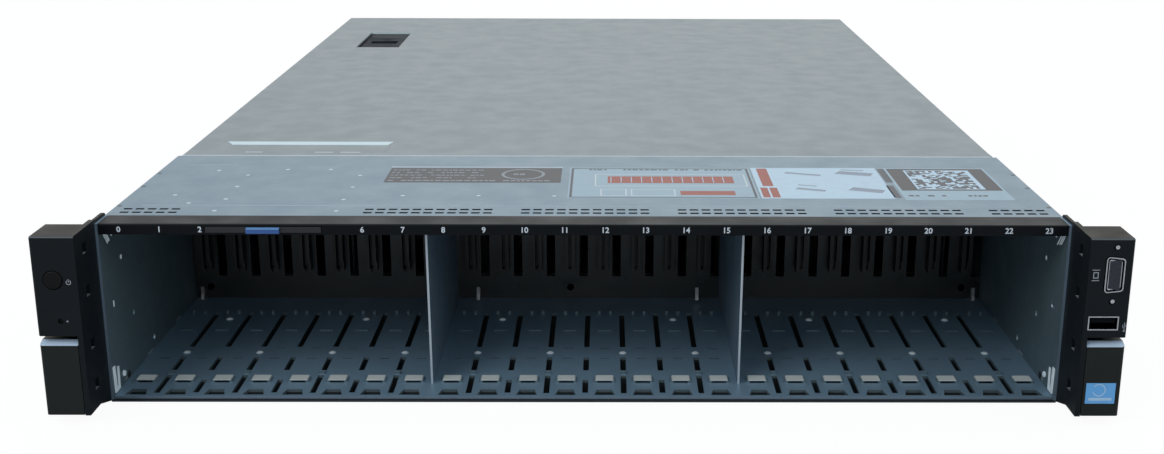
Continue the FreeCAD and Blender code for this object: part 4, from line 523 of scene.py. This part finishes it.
def text_mesh(text, size):
    """Mesh of a line of plain digits, centred, lying in its own x and y."""
    curve = bpy.data.curves.new("digits", "FONT")
    curve.body = text
    curve.size = size
    curve.offset = size * NUMBER_WEIGHT
    curve.align_x = "CENTER"
    curve.align_y = "CENTER"
    curve.extrude = SKIN / 2 * MM
    curve.resolution_u = 3
    writer = bpy.data.objects.new("digits", curve)
    bpy.context.scene.collection.objects.link(writer)
    bpy.context.view_layer.update()
    mesh = bpy.data.meshes.new_from_object(writer.evaluated_get(bpy.context.evaluated_depsgraph_get()))
    bpy.data.objects.remove(writer)
    return mesh


# ---------------------------------------------------------------- header numbers
NUMBER_SIZE = 3.7
NUMBER_WEIGHT = 0.02         # how far each stroke is thickened, as a share of the size
NUMBER_Z = 84.1
NUMBER_SHIFT = 0.25
TAG_BAYS = (3, 4, 5)


def bay_numbers():
    """White bay numbers along the header's face."""
    shape = bmesh.new()
    for index in range(BAY_COUNT):
        if index in TAG_BAYS:
            continue
        mesh = text_mesh(str(index), NUMBER_SIZE * MM)
        spot = place(bay_x(index) + NUMBER_SHIFT, -SKIN, NUMBER_Z)
        mesh.transform(Matrix.Translation(spot) @ FRONT_FACING)
        shape.from_mesh(mesh)
    add_piece("bay_numbers", shape, WHITE_INK, "chassis")


# ---------------------------------------------------------------- prints on the ears
# Boxes are left, right, lower and upper edges; spots are x, z and radius; arcs are x, z, radius,
# stroke, start and sweep.
POWER_ARC = (-225.9, 67.8, 1.0, 0.36, 125, 290)
POWER_STEM = (-226.08, -225.72, 67.8, 69.3)
SERVICE_SPOT = (-228.1, 49.7, 0.42)
MONITOR_SCREEN = (224.2, 226.6, 70.4, 73.3)
MONITOR_BAR = 0.42
MONITOR_LINES = ((223.7, 227.0, 74.1, 74.45), (223.7, 227.0, 69.25, 69.6))
FORK_BARS = ((240.1, 240.4, 46.1, 49.9), (239.4, 239.7, 47.4, 48.8), (240.8, 241.1, 47.9, 49.3),
             (239.4, 240.3, 47.3, 47.6), (240.3, 241.1, 47.8, 48.1))
FORK_SPOT = (240.25, 46.0, 0.5)
STICKER_BOX = (226.0, 239.3, 11.1, 21.0)
STICKER_BAND = (227.4, 237.9, 12.6, 13.9)
STICKER_ARC = (231.9, 17.6, 2.8, 0.5, 200, 300)
SPOT_STEPS = 12


def ear_prints():
    """Plain icons on the two ears: power, service, monitor and a serial-bus fork."""
    stand = Matrix.Translation(place(0, EAR_FRONT, 0)) @ FRONT_FACING
    shape = bmesh.new()
    outlines = [arc_band(*POWER_ARC), oblong(*POWER_STEM), circle(*SERVICE_SPOT, SPOT_STEPS)]
    outlines += frame_bars(*MONITOR_SCREEN, MONITOR_BAR)
    outlines += [oblong(*box) for box in MONITOR_LINES + FORK_BARS]
    outlines.append(circle(*FORK_SPOT, SPOT_STEPS))
    for points in outlines:
        extrude(shape, points, 0.0, SKIN, stand)
    add_piece("ear_icons", shape, ICON_INK, "chassis")


def plain_sticker():
    """Plain blue sticker with a paler band, on the right lever."""
    stand = Matrix.Translation(place(0, EAR_FRONT, 0)) @ FRONT_FACING
    shape = bmesh.new()
    extrude(shape, oblong(*STICKER_BOX), 0.0, SKIN, stand)
    add_piece("plain_sticker", shape, STICKER, "lever_right")
    shape = bmesh.new()
    extrude(shape, oblong(*STICKER_BAND), 0.0, 2 * SKIN, stand)
    extrude(shape, arc_band(*STICKER_ARC), 0.0, 2 * SKIN, stand)
    add_piece("sticker_band", shape, STICKER_PALE, "lever_right")


# ---------------------------------------------------------------- labels on the front plate
# Boxes are left, right, front and back edges, with the width of the bar last where one is drawn
# as a frame. Lines are left, right, front edge and height, with the share of dashes drawn.
REGULATORY_BOX = (-102.6, -13.2, 78.0, 109.0)
REGULATORY_EDGE = (-103.0, -13.0, 110.6, 111.8)
REGULATORY_LINES = ((-101.0, -53.0, 103.5, 1.5, 0.75), (-101.0, -53.0, 98.0, 1.5, 0.75),
                    (-101.0, -53.0, 92.5, 1.5, 0.75), (-101.0, -53.0, 87.0, 1.5, 0.75),
                    (-101.0, -16.0, 81.0, 1.8, 0.8))
REGULATORY_MARK = (-33.0, 95.5, 10.5, 1.6)
REGULATORY_MARK_TURNS = ((60, 240), (-60, 120))
REGULATORY_MARK_LINE = (-38.0, -28.0, 94.2, 2.6, 0.8)
SERVICE_BOX = (-9.0, 84.5, 47.5, 110.5)
SERVICE_BORDER = (-8.2, 83.7, 48.6, 109.0, 1.2)
SERVICE_BARS = ((10.6, 74.6, 77.5, 91.5), (46.4, 73.4, 53.8, 61.6))
SERVICE_HEADING = (-6.0, 82.0, 104.8, 2.0, 0.8)
SERVICE_FRAMES = ((4.0, 81.0, 71.0, 96.0, 0.8), (7.0, 20.0, 52.0, 65.0, 0.7),
                  (22.0, 44.0, 52.0, 65.0, 0.7))
TICK_COUNT = 12
TICK_PITCH = 5.2
TICK_BOX = (12.0, 12.5, 78.6, 90.4)
DRAWING_BOX = (85.5, 151.0, 47.5, 110.8)
DRAWING_STRIPS = ((88.4, 93.8, 72.0, 109.0), (86.6, 90.2, 49.5, 68.5), (91.2, 95.0, 49.5, 68.5))
DRAWING_DARK_STRIPS = ((151.8, 155.4, 80.0, 108.6), (150.4, 154.0, 49.4, 73.5))
# Left end, front edge, length, width and lean of each sketched slab.
SKETCHES = ((102.0, 99.0, 18.0, 2.6, 6.0), (104.0, 66.0, 14.0, 3.0, 5.0),
            (128.0, 98.0, 18.0, 6.0, 5.0), (130.0, 64.0, 16.0, 6.0, 6.0),
            (106.0, 74.0, 9.0, 1.4, 3.0), (132.0, 106.0, 12.0, 1.6, 2.0))
SLAB_SLANTS = (0.4, 0.6)
BLOCK_GROUND = (155.2, 208.2, 45.0, 110.6)
BLOCK_DARK = (156.8, 207.0, 63.5, 109.0)
BLOCK_PAPER = (165.0, 199.0, 65.8, 105.6)
BLOCK_SPECKS = (166.0, 198.2, 67.0, 104.6)
SPECK = 1.7
SPECK_SHARE = 0.5
BLOCK_LINE = (158.0, 202.0, 52.0, 2.4, 0.5)


def flat_print(name, outlines, material, level=1):
    """Lay flat outlines of millimetre points on the front plate."""
    shape = bmesh.new()
    stand = Matrix.Translation(place(0, 0, BODY_HEIGHT))
    for points in outlines:
        extrude(shape, points, (level - 1) * SKIN / 2, level * SKIN / 2, stand)
    add_piece(name, shape, material, "chassis")


DASH_WIDTHS = (1.2, 3.4)
DASH_GAPS = (0.5, 0.9)
SHORTEST_DASH = 1.0


def script_line(left, right, y, height, fill):
    """A row of short dashes that reads as small print without being any letters."""
    dashes = []
    x = left
    while x < right - SHORTEST_DASH:
        width = DICE.uniform(*DASH_WIDTHS)
        if DICE.random() < fill:
            dashes.append(oblong(x, min(x + width, right), y, y + height))
        x += width + DICE.uniform(*DASH_GAPS)
    return dashes


def speckle(left, right, low, high, cell):
    """Random small squares."""
    squares = []
    for column in range(int((right - left) / cell)):
        for row in range(int((high - low) / cell)):
            if DICE.random() < SPECK_SHARE:
                x, y = left + column * cell, low + row * cell
                squares.append(oblong(x, x + cell, y, y + cell))
    return squares


def bar_sketch(x, y, length, width, lean):
    """A leaning slab, like a cover or a card in an assembly drawing."""
    far_slant, near_slant = SLAB_SLANTS
    return [(x, y), (x + length, y - lean), (x + length + width * far_slant, y - lean + width),
            (x + width * near_slant, y + width)]


def regulatory_label():
    """Taupe label with rows of small print and a round mark."""
    flat_print("label_dark", [oblong(*REGULATORY_BOX)], TAUPE)
    rows = []
    for line in REGULATORY_LINES:
        rows += script_line(*line)
    rows += [arc_band(*REGULATORY_MARK, *turns) for turns in REGULATORY_MARK_TURNS]
    rows += script_line(*REGULATORY_MARK_LINE)
    flat_print("label_dark_print", rows, FINE_PRINT, 2)
    flat_print("label_edge", [oblong(*REGULATORY_EDGE)], LABEL_WHITE)


def service_label():
    """Pale label with a dark border, small print and two orange bars."""
    flat_print("label_service", [oblong(*SERVICE_BOX)], PALE)
    flat_print("label_border", frame_bars(*SERVICE_BORDER), LABEL_INK, 2)
    flat_print("label_bars", [oblong(*box) for box in SERVICE_BARS], LABEL_ORANGE, 2)
    flat_print("label_heading", script_line(*SERVICE_HEADING), LABEL_INK, 2)
    boxes = [bar for box in SERVICE_FRAMES for bar in frame_bars(*box)]
    flat_print("label_boxes", boxes, LABEL_WHITE, 2)
    left, right, low, high = TICK_BOX
    steps = [step * TICK_PITCH for step in range(TICK_COUNT)]
    ticks = [oblong(left + step, right + step, low, high) for step in steps]
    flat_print("label_ticks", ticks, STICKER_PALE, 3)


def drawing_label():
    """White panel with grey assembly sketches between orange and dark strips."""
    flat_print("label_drawing", [oblong(*DRAWING_BOX)], PAPER)
    flat_print("label_strips", [oblong(*box) for box in DRAWING_STRIPS], LABEL_ORANGE, 2)
    flat_print("label_sketches", [bar_sketch(*slab) for slab in SKETCHES], LABEL_GREY, 2)
    flat_print("label_dark_strips", [oblong(*box) for box in DRAWING_DARK_STRIPS], LABEL_INK)


def block_label():
    """Taupe label on a pale ground, with a block of random specks."""
    flat_print("label_ground", [oblong(*BLOCK_GROUND)], PALE)
    flat_print("label_block_dark", [oblong(*BLOCK_DARK)], TAUPE, 2)
    flat_print("label_block", [oblong(*BLOCK_PAPER)], PAPER, 3)
    flat_print("label_specks", speckle(*BLOCK_SPECKS, SPECK), LABEL_INK, 4)
    flat_print("label_small_print", script_line(*BLOCK_LINE), LABEL_INK, 2)


# ---------------------------------------------------------------- marks on the front plate
SPOT_WELDS = ((-173.6, 23.0), (-173.6, 44.4), (-174.0, 69.0), (-174.2, 92.8), (-116.6, 23.0),
              (-116.8, 44.0), (-116.4, 68.4), (-116.6, 92.4), (-156.3, 105.0), (-133.9, 105.2),
              (-191.5, 102.6), (-189.4, 36.8), (-200.1, 52.0), (-89.2, 51.6), (-52.4, 51.8),
              (-15.4, 51.6))
WELD_RADIUS = 1.1
WELD_STEPS = 14
EDGE_SLOTS = (96.0, 68.6, 31.5)
EDGE_SLOT_INSET = 1.6
EDGE_SLOT_HALF = (1.0, 1.2)


def spot_welds():
    """Bright pips of the spot welds, and the small dark slots along the plate's side edges."""
    flat_print("weld_pips", [circle(x, y, WELD_RADIUS, WELD_STEPS) for x, y in SPOT_WELDS],
               LABEL_WHITE)
    slots = []
    across, along = EDGE_SLOT_HALF
    for side in (-1, 1):
        x = side * (HALF - EDGE_SLOT_INSET)
        slots += [oblong(x - across, x + across, y - along, y + along) for y in EDGE_SLOTS]
    flat_print("edge_slots", slots, LABEL_INK)


# ---------------------------------------------------------------- port inserts
PIN_ROWS = 5
PIN_PITCH = (1.75, 2.45)
PIN_STAGGER = 0.25
PIN_RADIUS = 0.36
PIN_STEPS = 10
PIN_BLOCK = ((-2.6, -6.3), (2.6, -7.0), (2.6, 7.0), (-2.6, 6.3))
PIN_BLOCK_THICKNESS = 0.05
INSERT_DEPTH = 0.35
INSERT_HEIGHT = 0.1
PORT_SCREW = (0.3, 12.5, 0.95)


def port_inserts():
    """Blue pin block, dark discs painted as the shaded pin holes, and two screws of the front video
    port.
    """
    low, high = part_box("front_video_port")
    middle = (low + high) / 2
    spot = Vector((middle.x, low.y + INSERT_DEPTH * MM, middle.z))
    stand = Matrix.Translation(spot) @ FRONT_FACING
    shape = bmesh.new()
    extrude(shape, PIN_BLOCK, 0.0, PIN_BLOCK_THICKNESS, stand)
    add_piece("video_pin_block", shape, PORT_BLUE, "chassis")
    # Painted shade: flat dark discs stand for the holes that take the pins.
    shape = bmesh.new()
    for column in (-1, 0, 1):
        for row in range(PIN_ROWS):
            z = (row - (PIN_ROWS - 1) / 2 + PIN_STAGGER * column) * PIN_PITCH[1]
            pin = circle(column * PIN_PITCH[0], z, PIN_RADIUS, PIN_STEPS)
            extrude(shape, pin, PIN_BLOCK_THICKNESS, INSERT_HEIGHT, stand)
    add_piece("video_pins", shape, DARK, "chassis")
    shape = bmesh.new()
    spot = place(middle.x / MM, EAR_FRONT + INSERT_DEPTH, middle.z / MM)
    stand = Matrix.Translation(spot) @ FRONT_FACING
    shift, spread, radius = PORT_SCREW
    for side in (-1, 1):
        screw = circle(shift, side * spread, radius, SPOT_STEPS)
        extrude(shape, screw, 0.0, INSERT_HEIGHT, stand)
    add_piece("port_screws", shape, PORT_METAL, "chassis")


# ---------------------------------------------------------------- marks inside the drive bays
# Outlines are in millimetres behind the header's face and up, standing off the wall by the
# heights below.
WALL_FACE = HALF - SHEET
WALL_MARKS = {
    "left": ([circle(16.9, 76.9, 0.7, 12), circle(27.2, 63.0, 1.1, 14),
              [(6.0, 79.9), (6.8, 80.1), (11.7, 74.5), (10.9, 74.2)],
              [(8.2, 79.4), (9.0, 79.6), (12.9, 75.0), (12.1, 74.7)],
              [(10.4, 78.6), (11.2, 78.8), (14.2, 75.0), (13.4, 74.7)],
              oblong(11.2, 12.3, 43.2, 46.2)],
             [circle(12.1, 61.8, 0.8, 12), oblong(36.3, 37.5, 29.8, 33.2)]),
    "right": ([circle(17.4, 76.7, 0.7, 12), circle(29.5, 62.5, 1.1, 14),
               [(8.3, 80.1), (9.2, 80.3), (15.4, 73.5), (14.6, 73.2)],
               [(5.9, 80.6), (6.7, 80.8), (12.0, 74.6), (11.2, 74.3)],
               [(3.6, 81.1), (4.4, 81.3), (9.7, 75.2), (8.9, 74.9)],
               circle(14.5, 43.3, 0.8, 12)],
              [circle(15.2, 44.0, 1.5, 12)]),
}
CLIP_OUTLINE = [(2.0, 16.4), (4.4, 16.4), (5.0, 6.0), (7.4, 4.6), (8.2, 14.4), (9.6, 14.4), (9.2, 3.4),
                (2.6, 3.4)]
CLIP_RIVET = circle(16.2, 8.0, 1.4, 16)
CLIP_HOLE = circle(23.5, 4.6, 1.9, 18)
MARK_HEIGHTS = {"marks": 0.12, "dents": 0.08, "clip": 0.5, "rivet": 0.8, "hole": 0.1}
WALL_STAND = Matrix(((0, 0, 1, 0), (1, 0, 0, 0), (0, 1, 0, 0), (0, 0, 0, 1)))


def wall_marks():
    """Pips, ticks, dents, a riveted spring clip and a dark hole on the side walls near the front."""
    for name, side in (("left", -1), ("right", 1)):
        stand = Matrix.Translation(place(side * WALL_FACE, 0, 0)) @ WALL_STAND
        bright, dim = WALL_MARKS[name]
        # The pips, ticks, clip and rivet are painted pale with a painted glow, as highlights; the hole
        # is a disc of painted shade.
        marks = (("marks", bright, MARK_BRIGHT), ("dents", dim, MARK_DIM),
                 ("clip", [CLIP_OUTLINE], MARK_BRIGHT), ("rivet", [CLIP_RIVET], MARK_BRIGHT),
                 ("hole", [CLIP_HOLE], DARK))
        for suffix, outlines, material in marks:
            shape = bmesh.new()
            low, high = sorted((0.0, -side * MARK_HEIGHTS[suffix]))
            for points in outlines:
                extrude(shape, points, low, high, stand)
            add_piece("wall_%s_%s" % (suffix, name), shape, material, "chassis")


# ---------------------------------------------------------------- bright edges of the cover
COVER_FRONT = 136.3
COVER_GLINT = (0.1, 1.6)
COVER_GLINT_INSETS = (1.5, 3.0)
RECESS_FRONT = 146.0
RECESS_GLINT = 1.2
RECESS_GLINTS = ((-188.0, -178.7), (-150.0, -140.0), (-136.0, -125.0))


def edge_glints():
    """Painted highlights: a bright line along the cover's front edge, and short ones at the badge
    recess.
    """
    shape = bmesh.new()
    stand = Matrix.Translation(place(0, 0, BODY_HEIGHT))
    left, right = COVER_GLINT_INSETS
    low, high = COVER_GLINT
    lines = [oblong(left - HALF, HALF - right, COVER_FRONT + low, COVER_FRONT + high)]
    lines += [oblong(left, right, RECESS_FRONT - RECESS_GLINT, RECESS_FRONT)
              for left, right in RECESS_GLINTS]
    for points in lines:
        extrude(shape, points, 0.0, SKIN / 2, stand)
    add_piece("cover_glints", shape, LABEL_WHITE, "cover")


# ---------------------------------------------------------------- stage, light and camera
IMAGE_WIDTH = 1164
FOCAL_PIXELS = 1468.4
SENSOR = 36.0
CAMERA_PLACE = (10.1, -641.7, 267.9)
CAMERA_PITCH = 0.2822
CAMERA_YAW = 0.0073
CAMERA_ROLL = 0.0039
CAMERA_SHIFT = (-0.03, 0.0071)
CAMERA_NEAR = 0.01


def make_camera():
    data = bpy.data.cameras.new("camera")
    data.sensor_width = SENSOR
    data.lens = SENSOR * FOCAL_PIXELS / IMAGE_WIDTH
    data.shift_x, data.shift_y = CAMERA_SHIFT
    data.clip_start = CAMERA_NEAR
    camera = bpy.data.objects.new("camera", data)
    bpy.context.scene.collection.objects.link(camera)
    turn = (Matrix.Rotation(-CAMERA_YAW, 4, "Z")
            @ Matrix.Rotation(math.radians(90) - CAMERA_PITCH, 4, "X")
            @ Matrix.Rotation(CAMERA_ROLL, 4, "Z"))
    camera.matrix_world = Matrix.Translation(place(*CAMERA_PLACE)) @ turn
    bpy.context.scene.camera = camera


def lamp(name, position, size, power, colour, target):
    data = bpy.data.lights.new(name, "AREA")
    data.shape = "RECTANGLE"
    data.size, data.size_y = size
    data.energy = power
    data.color = colour
    light = bpy.data.objects.new(name, data)
    bpy.context.scene.collection.objects.link(light)
    direction = Vector(target) - Vector(position)
    light.rotation_euler = direction.to_track_quat("-Z", "Y").to_euler()
    light.location = position


def white_to_camera(tree, soft, white):
    """Show one shader to the camera, in gloss and through glass, and light with the other."""
    path = tree.nodes.new("ShaderNodeLightPath")
    seen = path.outputs["Is Camera Ray"]
    for name in ("Is Glossy Ray", "Is Transmission Ray"):
        either = tree.nodes.new("ShaderNodeMath")
        either.operation = "MAXIMUM"
        tree.links.new(seen, either.inputs[0])
        tree.links.new(path.outputs[name], either.inputs[1])
        seen = either.outputs[0]
    mix = tree.nodes.new("ShaderNodeMixShader")
    tree.links.new(seen, mix.inputs[0])
    tree.links.new(soft.outputs[0], mix.inputs[1])
    tree.links.new(white.outputs[0], mix.inputs[2])
    return mix.outputs[0]


AMBIENT_COLOUR = (0.80, 0.90, 1.0, 1.0)
AMBIENT_STRENGTH = 0.42
FLOOR_GLOW = 0.9
GLOW_STRENGTH = 1.05
FLOOR_SIZE = 6.0
FLOOR_DROP = 0.3
FLOOR_COLOUR = (0.9, 0.9, 0.9, 1.0)
# Name, place, width and depth, power and colour of each lamp, in metres and watts.
LAMPS = (("key", (-1.3, -1.6, 1.5), (1.4, 1.0), 14, (0.92, 0.96, 1.0)),
         ("fill", (1.8, -1.2, 1.2), (1.2, 1.2), 5.5, (0.85, 0.93, 1.0)),
         ("back", (0.2, 2.2, 1.9), (2.0, 1.0), 8.5, (1.0, 0.98, 0.95)))


def make_stage():
    scene = bpy.context.scene
    scene.view_settings.view_transform = "Standard"
    world = bpy.data.worlds.new("studio")
    scene.world = world
    world.use_nodes = True
    tree = world.node_tree
    tree.nodes.clear()
    soft = tree.nodes.new("ShaderNodeBackground")
    soft.inputs["Color"].default_value = AMBIENT_COLOUR
    soft.inputs["Strength"].default_value = AMBIENT_STRENGTH
    white = tree.nodes.new("ShaderNodeBackground")
    white.inputs["Color"].default_value = (1, 1, 1, 1)
    white.inputs["Strength"].default_value = 1.0
    out = tree.nodes.new("ShaderNodeOutputWorld")
    tree.links.new(white_to_camera(tree, soft, white), out.inputs["Surface"])

    shape = bmesh.new()
    bmesh.ops.create_grid(shape, x_segments=1, y_segments=1, size=FLOOR_SIZE)
    mesh = bpy.data.meshes.new("floor")
    shape.to_mesh(mesh)
    shape.free()
    floor = bpy.data.objects.new("floor", mesh)
    scene.collection.objects.link(floor)
    floor.location.z = -FLOOR_DROP * MM
    surface = Surface("floor_white", FLOOR_COLOUR, 0.9)
    tree = surface.tree
    glow = tree.nodes.new("ShaderNodeEmission")
    glow.inputs["Strength"].default_value = GLOW_STRENGTH
    path = tree.nodes.new("ShaderNodeLightPath")
    mix = tree.nodes.new("ShaderNodeMixShader")
    share = surface.both(path.outputs["Is Camera Ray"], FLOOR_GLOW)
    tree.links.new(share, mix.inputs[0])
    tree.links.new(surface.shader.outputs[0], mix.inputs[1])
    tree.links.new(glow.outputs[0], mix.inputs[2])
    tree.links.new(mix.outputs[0], tree.nodes["Material Output"].inputs["Surface"])
    mesh.materials.append(surface.material)

    middle = (0.0, 0.0, BODY_HEIGHT / 2 * MM)
    for values in LAMPS:
        lamp(*values, middle)


dress_nodes()
bay_numbers()
ear_prints()
plain_sticker()
regulatory_label()
service_label()
drawing_label()
block_label()
spot_welds()
port_inserts()
wall_marks()
edge_glints()
make_camera()
make_stage()
